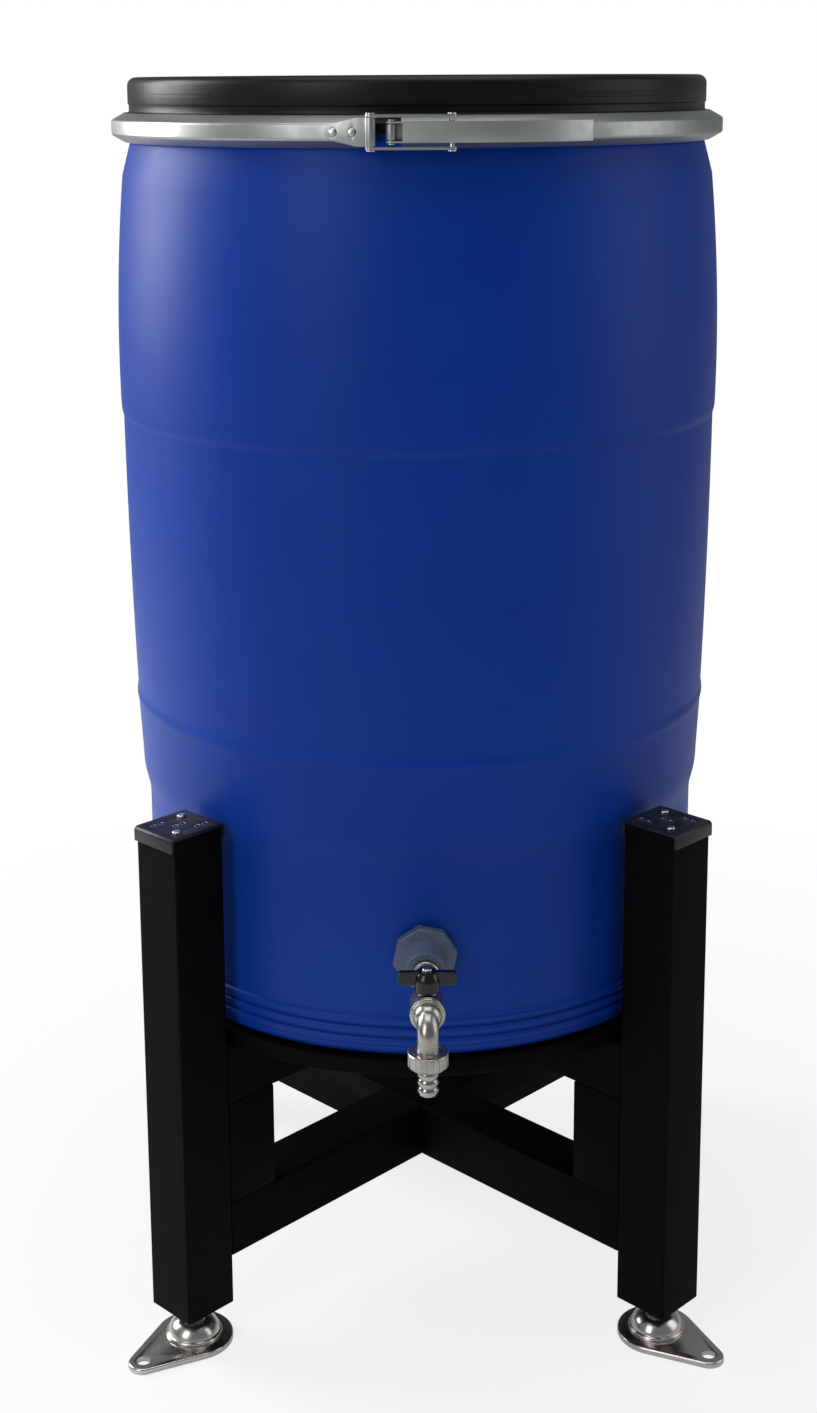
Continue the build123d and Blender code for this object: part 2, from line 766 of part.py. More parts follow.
with BuildPart() as lever_bracket:
    with BuildSketch(level(ring_z - tongue_height / 2)):
        with BuildLine():
            draw_strip(ring_radius, tongue_thickness, lever_pin_angle, tongue_end_angle)
        make_face()
        with Locations(lever_pin_place):
            Circle(tongue_roll_radius)
            Circle(lever_pin_radius, mode=Mode.SUBTRACT)
    extrude(amount=tongue_height)
    for rivet_angle in tongue_rivet_angles:
        with BuildSketch(front_facing(rivet_angle, ring_radius, ring_z)):
            Circle(rivet_radius)
        extrude(amount=tongue_thickness * 1.5, mode=Mode.SUBTRACT)
lever_bracket.part.label = "lever_bracket"
export_step(lever_bracket.part, "parts/lever_bracket.step")

with BuildPart() as ring_rivets:
    for angles, sheet in ((rivet_angles, bracket_thickness), (tongue_rivet_angles, tongue_thickness)):
        for rivet_angle in angles:
            head_plane = front_facing(rivet_angle, ring_radius + sheet, ring_z)
            with BuildSketch(head_plane):
                Circle(rivet_radius)
            extrude(amount=-sheet)
            with BuildSketch(head_plane):
                Circle(rivet_head_radius)
            extrude(amount=rivet_head_height, taper=30)
ring_rivets.part.label = "ring_rivets"
export_step(ring_rivets.part, "parts/ring_rivets.step")

with BuildPart() as hook_pin:
    with BuildSketch(level(ring_z - bracket_height / 2)):
        with Locations(hook_pin_place):
            Circle(hook_pin_radius)
    extrude(amount=bracket_height)
hook_pin.part.label = "hook_pin"
export_step(hook_pin.part, "parts/hook_pin.step")

pin_stand_off = lever_height / 2 + seat_clearance
with BuildPart() as lever_pin:
    with BuildSketch(level(ring_z - pin_stand_off)):
        with Locations(lever_pin_place):
            Circle(lever_pin_radius)
    extrude(amount=2 * pin_stand_off)
    with BuildSketch(level(ring_z + pin_stand_off), level(ring_z - pin_stand_off - pin_head_height)):
        with Locations(lever_pin_place):
            Circle(pin_head_radius)
    extrude(amount=pin_head_height)
lever_pin.part.label = "lever_pin"
export_step(lever_pin.part, "parts/lever_pin.step")

# The lever is a channel: a straight part over the pins, then a part bent to the ring
lever_pin_x, lever_pin_y = lever_pin_place
web_face_y = lever_pin_y - lever_ear_radius
lever_tip_outer = on_circle(lever_tip_radius, lever_end_angle)
lever_tip_inner = on_circle(lever_inner_radius, lever_end_angle)
inner_entry = on_circle(lever_inner_radius, link_pin_angle)


def draw_lever_plan(inset, start_x, inner_radius):
    """Draw the lever from above: its outer line moved in by inset, its inner line on a circle."""
    tip_outer = on_circle(lever_tip_radius - inset, lever_end_angle)
    tip_inner = on_circle(inner_radius, lever_end_angle)
    front = Line((start_x, web_face_y + inset), (lever_bend, web_face_y + inset))
    bend = TangentArc((lever_bend, web_face_y + inset), tip_outer, tangent=(1, 0))
    Line(bend @ 1, tip_inner)
    inner_start = on_circle(inner_radius, start_x / inner_radius * 180 / 3.14159265)
    inner = ThreePointArc(tip_inner, on_circle(inner_radius, lever_end_angle / 2), inner_start)
    Line(inner @ 1, front @ 0)


with BuildPart() as clamp_lever:
    with BuildSketch(level(ring_z - lever_height / 2)):
        with BuildLine():
            draw_lever_plan(0, lever_pin_x, lever_inner_radius)
        make_face()
        with Locations(lever_pin_place):
            Circle(lever_ear_radius)
    extrude(amount=lever_height)
    with BuildSketch(level(ring_z - lever_height / 2 + lever_sheet)):
        with BuildLine():
            draw_lever_plan(lever_sheet, lever_web_start, lever_inner_radius - 2 * lever_sheet)
        make_face()
        with Locations(((lever_pin_x + lever_web_start) / 2 - lever_ear_radius, lever_pin_y)):
            Rectangle(
                lever_web_start - lever_pin_x + 2 * lever_ear_radius + 1,
                6 * lever_ear_radius,
            )
    extrude(amount=lever_height - 2 * lever_sheet, mode=Mode.SUBTRACT)
    with BuildSketch(level(ring_z - lever_height / 2)):
        with Locations(lever_pin_place):
            Circle(lever_pin_radius + running_clearance)
        with Locations(link_pin_place):
            Circle(link_pin_radius + running_clearance)
    extrude(amount=lever_height, mode=Mode.SUBTRACT)
clamp_lever.part.label = "clamp_lever"
export_step(clamp_lever.part, "parts/clamp_lever.step")

# Link bars: two flat bars from the hook pin to the link pin, just clear of the hook bracket
link_run = Vector(*link_pin_place) - Vector(*hook_pin_place)
link_middle = (Vector(*link_pin_place) + Vector(*hook_pin_place)) * 0.5
bar_base = bracket_height / 2 + seat_clearance
bar_heights = {"upper": ring_z + bar_base, "lower": ring_z - bar_base - bar_thickness}
for side, bar_z in bar_heights.items():
    with BuildPart() as link_bar:
        with BuildSketch(Plane(origin=(link_middle.X, link_middle.Y, bar_z), x_dir=link_run)):
            SlotCenterToCenter(link_run.length, bar_width)
            with Locations((link_run.length / 2, 0)):
                Circle(link_pin_radius, mode=Mode.SUBTRACT)
            with Locations((-link_run.length / 2, 0)):
                Circle(hook_pin_radius, mode=Mode.SUBTRACT)
        extrude(amount=bar_thickness)
    link_bar.part.label = f"link_bar_{side}"
    export_step(link_bar.part, f"parts/link_bar_{side}.step")

bar_outer = bar_base + bar_thickness
with BuildPart() as link_pin:
    with BuildSketch(level(ring_z - bar_outer)):
        with Locations(link_pin_place):
            Circle(link_pin_radius)
    extrude(amount=2 * bar_outer)
    with BuildSketch(level(ring_z + bar_outer), level(ring_z - bar_outer - link_head_height)):
        with Locations(link_pin_place):
            Circle(link_head_radius)
    extrude(amount=link_head_height)
link_pin.part.label = "link_pin"
export_step(link_pin.part, "parts/link_pin.step")

with BuildPart() as link_end_rivets:
    with BuildSketch(level(ring_z + bar_base), level(ring_z - bar_outer)):
        with Locations(hook_pin_place):
            Circle(hook_pin_radius)
    extrude(amount=bar_thickness)
    with BuildSketch(level(ring_z + bar_outer), level(ring_z - bar_outer - link_head_height)):
        with Locations(hook_pin_place):
            Circle(link_head_radius)
    extrude(amount=link_head_height)
link_end_rivets.part.label = "link_end_rivets"
export_step(link_end_rivets.part, "parts/link_end_rivets.step")


# Tank connector: octagonal flange and boss outside, shank through the wall, gaskets and a back nut
def tap_face(reach):
    """Give the upright plane across the tap's axis at a reach from the drum's axis, facing outwards."""
    return Plane(origin=(0, -reach, tap_z), x_dir=(1, 0, 0), z_dir=(0, -1, 0))


inner_face_reach = drum_lower_radius - drum_wall - inner_seat
with BuildPart() as tank_connector:
    with BuildSketch(tap_face(connector_back)):
        RegularPolygon(
            connector_flange_width / 2, 8, major_radius=False, rotation=-connector_turn - 22.5
        )
    extrude(amount=connector_flange_thickness)
    chamfer(tank_connector.faces().sort_by(Axis.Y)[0].edges(), length=1.2)
    with BuildSketch(tap_face(connector_face)):
        Circle(connector_boss_radius)
    extrude(amount=connector_boss_length)
    fillet(tank_connector.faces().sort_by(Axis.Y)[0].edges(), radius=connector_boss_edge)
    with BuildSketch(tap_face(connector_back)):
        Circle(connector_shank_radius)
    extrude(amount=-connector_shank_length)
    with BuildSketch(tap_face(boss_face)):
        Circle(thread_radius)
    extrude(amount=-tap_shank_length - 2 * seat_clearance, mode=Mode.SUBTRACT)
    with BuildSketch(tap_face(boss_face)):
        Circle(tap_bore_radius)
    extrude(
        amount=-connector_boss_length - connector_flange_thickness - connector_shank_length,
        mode=Mode.SUBTRACT,
    )
tank_connector.part.label = "tank_connector"
export_step(tank_connector.part, "parts/tank_connector.step")

gasket_bore_radius = connector_shank_radius
with BuildPart() as connector_gasket:
    with BuildSketch(tap_face(connector_back)):
        Circle(connector_gasket_radius)
        Circle(gasket_bore_radius, mode=Mode.SUBTRACT)
    extrude(amount=-2 * connector_seat)
    Cylinder(drum_lower_radius, 3 * drum_base_z, mode=Mode.SUBTRACT)
connector_gasket.part.label = "connector_gasket"
export_step(connector_gasket.part, "parts/connector_gasket.step")

with BuildPart() as inner_gasket:
    with BuildSketch(tap_face(inner_face_reach)):
        Circle(connector_gasket_radius)
        Circle(gasket_bore_radius, mode=Mode.SUBTRACT)
    extrude(amount=2 * inner_seat)
    Cylinder(drum_lower_radius - drum_wall, 3 * drum_base_z, mode=Mode.INTERSECT)
inner_gasket.part.label = "inner_gasket"
export_step(inner_gasket.part, "parts/inner_gasket.step")

with BuildPart() as back_nut:
    with BuildSketch(tap_face(inner_face_reach)):
        RegularPolygon(back_nut_width / 2, 8, major_radius=False)
        Circle(connector_shank_radius, mode=Mode.SUBTRACT)
    extrude(amount=-back_nut_thickness)
back_nut.part.label = "back_nut"
export_step(back_nut.part, "parts/back_nut.step")

# Tap body: threaded shank, collar, neck and ball chamber, with the bonnet on top
tap_axis = Axis((0, 0, tap_z), (0, -1, 0))
tap_section = Plane(origin=(0, 0, tap_z), x_dir=(0, -1, 0), z_dir=(-1, 0, 0))
chamber_back = chamber_reach - chamber_half_length
chamber_front = chamber_reach + chamber_half_length
body_front = chamber_front + spigot_length
body_back = chamber_back - body_wall_back
with BuildPart() as tap_body:
    with BuildSketch(tap_section):
        with BuildLine():
            Polyline(
                (boss_face - tap_shank_length, 0),
                (boss_face - tap_shank_length, thread_radius),
                (boss_face, thread_radius),
                (boss_face, collar_radius),
                (boss_face + collar_length - 1, collar_radius),
                (boss_face + collar_length, collar_radius - 1),
                (boss_face + collar_length, neck_radius_tap),
                (body_back - neck_radius_tap, neck_radius_tap),
            )
            ThreePointArc(
                (body_back - neck_radius_tap, neck_radius_tap),
                (body_back - 0.3 * neck_radius_tap, 0.35 * neck_radius_tap + 0.65 * body_radius),
                (body_back + 0.3 * neck_radius_tap, body_radius),
            )
            Polyline(
                (body_back + 0.3 * neck_radius_tap, body_radius),
                (body_front - 1, body_radius),
                (body_front, body_radius - 1),
                (body_front, 0),
                (boss_face - tap_shank_length, 0),
            )
        make_face()
    revolve(axis=tap_axis)
    with BuildSketch(Plane(origin=(0, -chamber_reach, tap_z))):
        Circle(bonnet_radius)
    extrude(amount=bonnet_height)
    with BuildSketch(tap_section):
        with BuildLine():
            Polyline(
                (boss_face - tap_shank_length, 0),
                (boss_face - tap_shank_length, tap_bore_radius),
                (chamber_back, tap_bore_radius),
                (chamber_back, chamber_radius),
                (body_front, chamber_radius),
                (body_front, 0),
                close=True,
            )
        make_face()
    revolve(axis=tap_axis, mode=Mode.SUBTRACT)
    with BuildSketch(Plane(origin=(0, -chamber_reach, tap_z))):
        Circle(spindle_radius + running_clearance)
    extrude(amount=bonnet_height, mode=Mode.SUBTRACT)
tap_body.part.label = "tap_body"
export_step(tap_body.part, "parts/tap_body.step")

# Ball with its bore across the flow, as in the closed tap, and a slot for the spindle's tang
slot_floor = tap_ball_radius - spindle_tang
with BuildPart() as tap_ball:
    with Locations((0, -chamber_reach, tap_z)):
        Sphere(tap_ball_radius)
    with BuildSketch(Plane(origin=(-tap_ball_radius, -chamber_reach, tap_z), z_dir=(1, 0, 0))):
        Circle(tap_bore_radius)
    extrude(amount=2 * tap_ball_radius, mode=Mode.SUBTRACT)
    with BuildSketch(Plane(origin=(0, -chamber_reach, tap_z + slot_floor + running_clearance))):
        Rectangle(spindle_tang, 2 * tap_ball_radius)
    extrude(amount=2 * spindle_tang, mode=Mode.SUBTRACT)
tap_ball.part.label = "tap_ball"
export_step(tap_ball.part, "parts/tap_ball.step")

with BuildPart() as ball_seats:
    with BuildSketch(tap_face(chamber_back), tap_face(chamber_front - seat_thickness)):
        Circle(chamber_radius)
        Circle(seat_inner_radius, mode=Mode.SUBTRACT)
    extrude(amount=seat_thickness)
ball_seats.part.label = "ball_seats"
export_step(ball_seats.part, "parts/ball_seats.step")

# Spindle, packing nut, T handle and its screw
handle_base_z = tap_z + bonnet_height + seat_clearance
handle_top_z = handle_base_z + handle_hub_height
with BuildPart() as tap_spindle:
    with BuildSketch(Plane(origin=(0, -chamber_reach, tap_z + slot_floor + 2 * running_clearance))):
        Rectangle(spindle_tang - 2 * running_clearance, spindle_tang_length)
    extrude(amount=spindle_tang)
    with BuildSketch(Plane(origin=(0, -chamber_reach, tap_z + tap_ball_radius + running_clearance))):
        Circle(spindle_radius)
    extrude(amount=handle_top_z - tap_z - tap_ball_radius - running_clearance)
    with BuildSketch(Plane(origin=(0, -chamber_reach, handle_top_z))):
        Circle(handle_screw_radius)
    extrude(amount=-handle_screw_length, mode=Mode.SUBTRACT)
tap_spindle.part.label = "tap_spindle"
export_step(tap_spindle.part, "parts/tap_spindle.step")

with BuildPart() as packing_nut:
    with BuildSketch(Plane(origin=(0, -chamber_reach, tap_z + bonnet_height))):
        RegularPolygon(packing_nut_width / 2, 6, major_radius=False)
        Circle(spindle_radius + running_clearance, mode=Mode.SUBTRACT)
    extrude(amount=packing_nut_height)
packing_nut.part.label = "packing_nut"
export_step(packing_nut.part, "parts/packing_nut.step")

nut_room_radius = packing_nut_width / sqrt(3) + seat_clearance
with BuildPart() as tap_handle:
    with BuildSketch(tap_face(chamber_reach)):
        with Locations((0, handle_top_z - tap_z - handle_wing_drop - handle_wing_height / 2)):
            RectangleRounded(handle_span, handle_wing_height, handle_wing_height / 4)
    extrude(amount=handle_wing_thickness / 2, both=True)
    fillet(tap_handle.faces().filter_by(Axis.Y).edges(), radius=1.2)
    with BuildSketch(Plane(origin=(0, -chamber_reach, handle_base_z))):
        Circle(handle_hub_radius)
    extrude(amount=handle_hub_height)
    with BuildSketch(Plane(origin=(0, -chamber_reach, handle_base_z))):
        Circle(nut_room_radius)
    extrude(amount=packing_nut_height + seat_clearance, mode=Mode.SUBTRACT)
    with BuildSketch(Plane(origin=(0, -chamber_reach, handle_base_z))):
        Circle(spindle_radius)
    extrude(amount=handle_hub_height, mode=Mode.SUBTRACT)
tap_handle.part.label = "tap_handle"
export_step(tap_handle.part, "parts/tap_handle.step")

with BuildPart() as handle_screw:
    with BuildSketch(Plane(origin=(0, -chamber_reach, handle_top_z))):
        Circle(handle_screw_head_radius)
    extrude(amount=handle_screw_head_height)
    fillet(handle_screw.edges().group_by(Axis.Z)[-1], radius=1.6)
    with BuildSketch(Plane(origin=(0, -chamber_reach, handle_top_z))):
        Circle(handle_screw_radius)
    extrude(amount=-handle_screw_length)
handle_screw.part.label = "handle_screw"
export_step(handle_screw.part, "parts/handle_screw.step")

# Spout: spigot and collar on the body, a bend, and a thread for the union nut
spout_start = body_front + spout_collar_length
spout_end_z = union_top_z - spout_thread_length
with BuildPart() as tap_spout:
    with BuildSketch(tap_section):
        with BuildLine():
            Polyline(
                (chamber_front, 0),
                (chamber_front, chamber_radius),
                (body_front, chamber_radius),
                (body_front, spout_collar_radius - 1),
                (body_front + 1, spout_collar_radius),
                (spout_start - 1, spout_collar_radius),
                (spout_start, spout_collar_radius - 1),
                (spout_start, 0),
                close=True,
            )
        make_face()
    revolve(axis=tap_axis)
    with BuildLine(tap_section) as spout_path:
        JernArc((spout_start, 0), (1, 0), spout_bend_radius, -90)
        Line(spout_path.line @ 1, (spout_reach, spout_end_z - tap_z))
    with BuildSketch(tap_face(spout_start)):
        Circle(spout_radius)
    sweep(path=spout_path.line)
    with BuildSketch(Plane(origin=(0, -spout_reach, spout_end_z))):
        Circle(spout_thread_radius)
    extrude(amount=spout_thread_length)
    with BuildSketch(tap_face(spout_start)):
        Circle(tap_bore_radius)
    sweep(path=spout_path.line, mode=Mode.SUBTRACT)
    with BuildSketch(tap_face(chamber_front)):
        Circle(tap_bore_radius)
    extrude(amount=spout_start - chamber_front, mode=Mode.SUBTRACT)
tap_spout.part.label = "tap_spout"
export_step(tap_spout.part, "parts/tap_spout.step")

# Union nut, washer and hose tail
union_base_z = union_top_z - union_height
outlet_axis = Axis((0, -spout_reach, 0), (0, 0, 1))
outlet_section = Plane(origin=(0, -spout_reach, 0), x_dir=(1, 0, 0), z_dir=(0, -1, 0))
with BuildPart() as union_nut:
    with BuildSketch(outlet_section):
        with BuildLine():
            Polyline(
                (tail_radius, union_base_z),
                (union_radius - union_taper, union_base_z),
                (union_radius, union_base_z + union_taper),
                (union_radius, union_top_z - 1),
                (union_radius - 1, union_top_z),
                (spout_thread_radius, union_top_z),
                (spout_thread_radius, union_base_z + union_floor),
                (tail_radius, union_base_z + union_floor),
                close=True,
            )
        make_face()
    revolve(axis=outlet_axis)
    with BuildSketch(Plane(origin=(0, -spout_reach, union_base_z))):
        with PolarLocations(union_radius + union_flute_radius / 2, union_flute_count):
            Circle(union_flute_radius)
    extrude(amount=union_height, mode=Mode.SUBTRACT)
union_nut.part.label = "union_nut"
export_step(union_nut.part, "parts/union_nut.step")

tail_flange_z = union_base_z + union_floor
with BuildPart() as hose_washer:
    with BuildSketch(Plane(origin=(0, -spout_reach, tail_flange_z + tail_flange_thickness))):
        Circle(tail_flange_radius)
        Circle(tail_radius, mode=Mode.SUBTRACT)
    extrude(amount=spout_end_z - tail_flange_z - tail_flange_thickness)
hose_washer.part.label = "hose_washer"
export_step(hose_washer.part, "parts/hose_washer.step")

tail_end_z = union_top_z - tail_drop
with BuildPart() as hose_tail:
    with BuildSketch(outlet_section):
        with BuildLine():
            Line((tail_bore_radius, tail_end_z), (tail_radius, tail_end_z))
            ridge_start = (tail_radius, tail_end_z)
            for ridge in range(tail_ridge_count):
                ridge_bottom = tail_end_z + ridge * tail_ridge_pitch
                ridge_curve = ThreePointArc(
                    (tail_radius, ridge_bottom),
                    (tail_ridge_radius, ridge_bottom + tail_ridge_pitch / 2),
                    (tail_radius, ridge_bottom + tail_ridge_pitch),
                )
            Polyline(
                ridge_curve @ 1,
                (tail_radius, tail_flange_z),
                (tail_flange_radius, tail_flange_z),
                (tail_flange_radius, tail_flange_z + tail_flange_thickness),
                (tail_bore_radius, tail_flange_z + tail_flange_thickness),
                (tail_bore_radius, tail_end_z),
            )
        make_face()
    revolve(axis=outlet_axis)
hose_tail.part.label = "hose_tail"
export_step(hose_tail.part, "parts/hose_tail.step")
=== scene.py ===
"""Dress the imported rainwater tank: finer pieces, finishes, floor, lights and camera."""

import logging
import math
from dataclasses import dataclass
from enum import Enum
from typing import Callable, Sequence

import bpy
from mathutils import Euler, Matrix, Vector


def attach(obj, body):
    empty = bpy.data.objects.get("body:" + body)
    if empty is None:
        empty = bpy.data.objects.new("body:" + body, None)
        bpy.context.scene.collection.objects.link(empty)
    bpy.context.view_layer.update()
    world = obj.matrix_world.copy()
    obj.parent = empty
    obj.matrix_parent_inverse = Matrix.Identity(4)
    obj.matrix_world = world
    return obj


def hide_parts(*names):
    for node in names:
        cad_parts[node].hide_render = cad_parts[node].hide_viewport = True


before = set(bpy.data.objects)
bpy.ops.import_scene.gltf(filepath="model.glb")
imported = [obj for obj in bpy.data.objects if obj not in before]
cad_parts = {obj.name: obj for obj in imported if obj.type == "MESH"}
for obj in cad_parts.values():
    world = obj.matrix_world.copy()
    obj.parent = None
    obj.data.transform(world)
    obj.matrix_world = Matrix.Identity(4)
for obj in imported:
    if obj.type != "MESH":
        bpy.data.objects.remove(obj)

LOG = logging.getLogger("rainwater_tank")

MM = 0.001
TURN = 2 * math.pi
# The front's angle from +X, in degrees.
FRONT = -90.0
# Mesh points nearer than this are one, in metres.
SAME = 1e-6
# Faces that bend less than this are one flat face, in degrees.
FLAT = 0.4
# Edges sharper than this are rounded, in degrees, with so many faces across.
SHARP = 35.0
ROUNDING_FACES = 2
# Three points that span less area than this lie on a line.
NO_AREA = 1e-9
# The colour inputs and the colour output of a Mix node.
MIX_COLOURS = (6, 7)
MIX_RESULT = 2

Point = tuple[float, float]
Triple = tuple[float, float, float]
Colour = tuple[float, float, float]
Piece = bpy.types.Object
Material = bpy.types.Material


def level(degrees: float) -> Vector:
    """Give the level unit vector at an angle from +X."""
    angle = math.radians(degrees)
    return Vector((math.cos(angle), math.sin(angle), 0))


class Body(Enum):
    """The moving bodies of the tank that pieces ride on."""

    TANK = "tank"
    LEVER = "lever"
    LINKS = "links"
    TAP = "tap turner"


class Corner(Enum):
    """The four posts, each with its angle from +X in degrees."""

    REAR_RIGHT = 45
    REAR_LEFT = 135
    FRONT_LEFT = 225
    FRONT_RIGHT = 315

    @property
    def node(self) -> str:
        """The corner's name at the start of its nodes' names."""
        return self.name.lower()

    @property
    def body(self) -> str:
        """The corner's name at the start of its bodies' names."""
        return self.node.replace("_", " ")

    @property
    def outward(self) -> Vector:
        """The level unit vector from the tank's axis to the post."""
        return level(self.value)


# Shader maths.


class Sock:
    """A shader socket on which arithmetic is written as Python."""

    def __init__(self, nodes: "Nodes", out: bpy.types.NodeSocket) -> None:
        """Wrap one output socket of a tree's nodes."""
        self.nodes = nodes
        self.out = out

    def _maths(self, operation: str, first: "Sock | float", second: "Sock | float") -> "Sock":
        """Add a Math node that does an operation on two values or sockets."""
        return self.nodes.node("ShaderNodeMath", {"operation": operation}, {0: first, 1: second})

    def __add__(self, other: "Sock | float") -> "Sock":
        """Add."""
        return self._maths("ADD", self, other)

    __radd__ = __add__

    def __sub__(self, other: "Sock | float") -> "Sock":
        """Subtract."""
        return self._maths("SUBTRACT", self, other)

    def __rsub__(self, other: float) -> "Sock":
        """Subtract from a number."""
        return self._maths("SUBTRACT", other, self)

    def __mul__(self, other: "Sock | float") -> "Sock":
        """Multiply."""
        return self._maths("MULTIPLY", self, other)

    __rmul__ = __mul__

    def __truediv__(self, other: "Sock | float") -> "Sock":
        """Divide."""
        return self._maths("DIVIDE", self, other)

    def __pow__(self, other: float) -> "Sock":
        """Raise to a power."""
        return self._maths("POWER", self, other)

    def at_least(self, other: "Sock | float") -> "Sock":
        """Take the larger value."""
        return self._maths("MAXIMUM", self, other)


class Nodes:
    """A node tree to which nodes are added."""

    def __init__(self, tree: bpy.types.NodeTree) -> None:
        """Start with an empty tree."""
        self.tree = tree
        self.tree.nodes.clear()

    def node(self, kind: str, settings: dict, sockets: dict, output: str | int = 0) -> Sock:
        """Add a node.

        Args:
            kind: The node's type.
            settings: Settings of the node, set first; "stops" fills a ramp.
            sockets: Values or links of its input sockets, by name or number.
            output: The output to return.

        Returns:
            The chosen output.
        """
        node = self.tree.nodes.new(kind)
        for key, value in settings.items():
            if key == "stops":
                ramp = node.color_ramp
                while len(ramp.elements) < len(value):
                    ramp.elements.new(1.0)
                for element, (place, shade) in zip(ramp.elements, value):
                    element.position = place
                    element.color = (shade, shade, shade, 1.0)
            else:
                setattr(node, key, value)
        for key, value in sockets.items():
            if isinstance(value, Sock):
                self.tree.links.new(value.out, node.inputs[key])
            else:
                node.inputs[key].default_value = value
        return Sock(self, node.outputs[output])

    def background_seen(self, mirrored: float) -> Sock:
        """Tell which rays see the white background.

        Args:
            mirrored: The share of it that glossy surfaces mirror.

        Returns:
            1 for what the camera sees, also through clear things, and the share in gloss.
        """
        paths = self.node("ShaderNodeLightPath", {}, {}).out.node.outputs
        camera = Sock(self, paths["Is Camera Ray"])
        glossy = Sock(self, paths["Is Glossy Ray"])
        through = Sock(self, paths["Is Transmission Ray"])
        return camera.at_least(glossy * mirrored).at_least(through)


class Shade(Nodes):
    """The nodes of one material."""

    def __init__(self, name: str) -> None:
        """Start a material with a Principled shader.

        Args:
            name: The material's name.
        """
        self.material = bpy.data.materials.new(name)
        self.material.use_nodes = True
        super().__init__(self.material.node_tree)
        self.surface = self.tree.nodes.new("ShaderNodeOutputMaterial")
        self.shader = self.tree.nodes.new("ShaderNodeBsdfPrincipled")
        self.tree.links.new(self.shader.outputs[0], self.surface.inputs["Surface"])
        self.place = self.node("ShaderNodeTexCoord", {}, {}, "Object")

    def stretched(self, scale: Triple) -> Sock:
        """Give the object's coordinates, scaled along each axis."""
        return self.node("ShaderNodeMapping", {}, {"Vector": self.place, "Scale": scale})

    def noise(
        self, scale: float, detail: float = 3.0, rough: float = 0.5, at: Sock | None = None
    ) -> Sock:
        """Give a noise of that many bumps per metre."""
        sockets = {"Vector": at or self.place, "Scale": scale, "Detail": detail, "Roughness": rough}
        return self.node("ShaderNodeTexNoise", {}, sockets, "Fac")

    def drawn(self, stretch: Triple, detail: float, rough: float) -> Sock:
        """Give a noise drawn out along an axis, by its bumps per metre along each."""
        return self.noise(1.0, detail, rough, self.stretched(stretch))

    def cells(self, scale: float, output: str) -> Sock:
        """Give a cell pattern of that many cells per metre."""
        sockets = {"Vector": self.place, "Scale": scale}
        return self.node("ShaderNodeTexVoronoi", {}, sockets, output)

    def ramp(self, value: Sock, *stops: Point) -> Sock:
        """Map a value through grey stops of (place, shade)."""
        return self.node("ShaderNodeValToRGB", {"stops": stops}, {"Fac": value})

    def patches(self, value: Sock, low: float, high: float, most: float = 1.0) -> Sock:
        """Give patches: 0 where a value is low, the most where it is high."""
        return self.ramp(value, (low, 0.0), (high, most))

    def pits(self, scale: float, edge: float) -> Sock:
        """Give pits, so many a metre: 1 at the middle of each and 0 beyond its edge."""
        return self.ramp(self.cells(scale, "Distance"), (0.0, 1.0), (edge, 0.0))

    def tint(self, mask: Sock | float, low: Colour | Sock, high: Colour | Sock) -> Sock:
        """Mix two colours.

        Args:
            mask: The share of the second colour.
            low: The first colour.
            high: The second colour.

        Returns:
            The mixed colour.
        """
        sockets = {"Factor": mask}
        for slot, shade in zip(MIX_COLOURS, (low, high)):
            sockets[slot] = shade if isinstance(shade, Sock) else (*shade, 1.0)
        return self.node("ShaderNodeMix", {"data_type": "RGBA"}, sockets, MIX_RESULT)

    def reach(self) -> Sock:
        """Measure how far a place is from the object's Z axis.

        Returns:
            The distance in metres.
        """
        split = self.node("ShaderNodeSeparateXYZ", {}, {"Vector": self.place}).out.node.outputs
        x, y = (Sock(self, split[axis]) for axis in "XY")
        return (x * x + y * y) ** 0.5

    def bump(self, height: Sock, strength: float, depth: float, under: Sock | None = None) -> Sock:
        """Bend the normal by a height.

        Args:
            height: The height, from 0 to 1.
            strength: How strongly it shows.
            depth: The depth of a height of 1, in metres.
            under: Another bump that this one lies on.

        Returns:
            The bent normal.
        """
        sockets = {"Height": height, "Strength": strength, "Distance": depth}
        if under is not None:
            sockets["Normal"] = under
        return self.node("ShaderNodeBump", {}, sockets)

    def finish(
        self, colour: Colour | Sock, rough: float | Sock, **sockets: float | Sock
    ) -> Material:
        """Set the shader's sockets.

        Args:
            colour: The base colour.
            rough: The roughness.
            **sockets: Other values or links by socket name, with _ for a space.

        Returns:
            The finished material.
        """
        sockets = {"Base Color": colour, "Roughness": rough, **sockets}
        for key, value in sockets.items():
            slot = self.shader.inputs[key.replace("_", " ")]
            if isinstance(value, Sock):
                self.tree.links.new(value.out, slot)
            elif isinstance(value, tuple):
                slot.default_value = (*value, 1.0)
            else:
                slot.default_value = value
        return self.material


# Finishes. Sizes in them are bumps per metre, depths are metres.


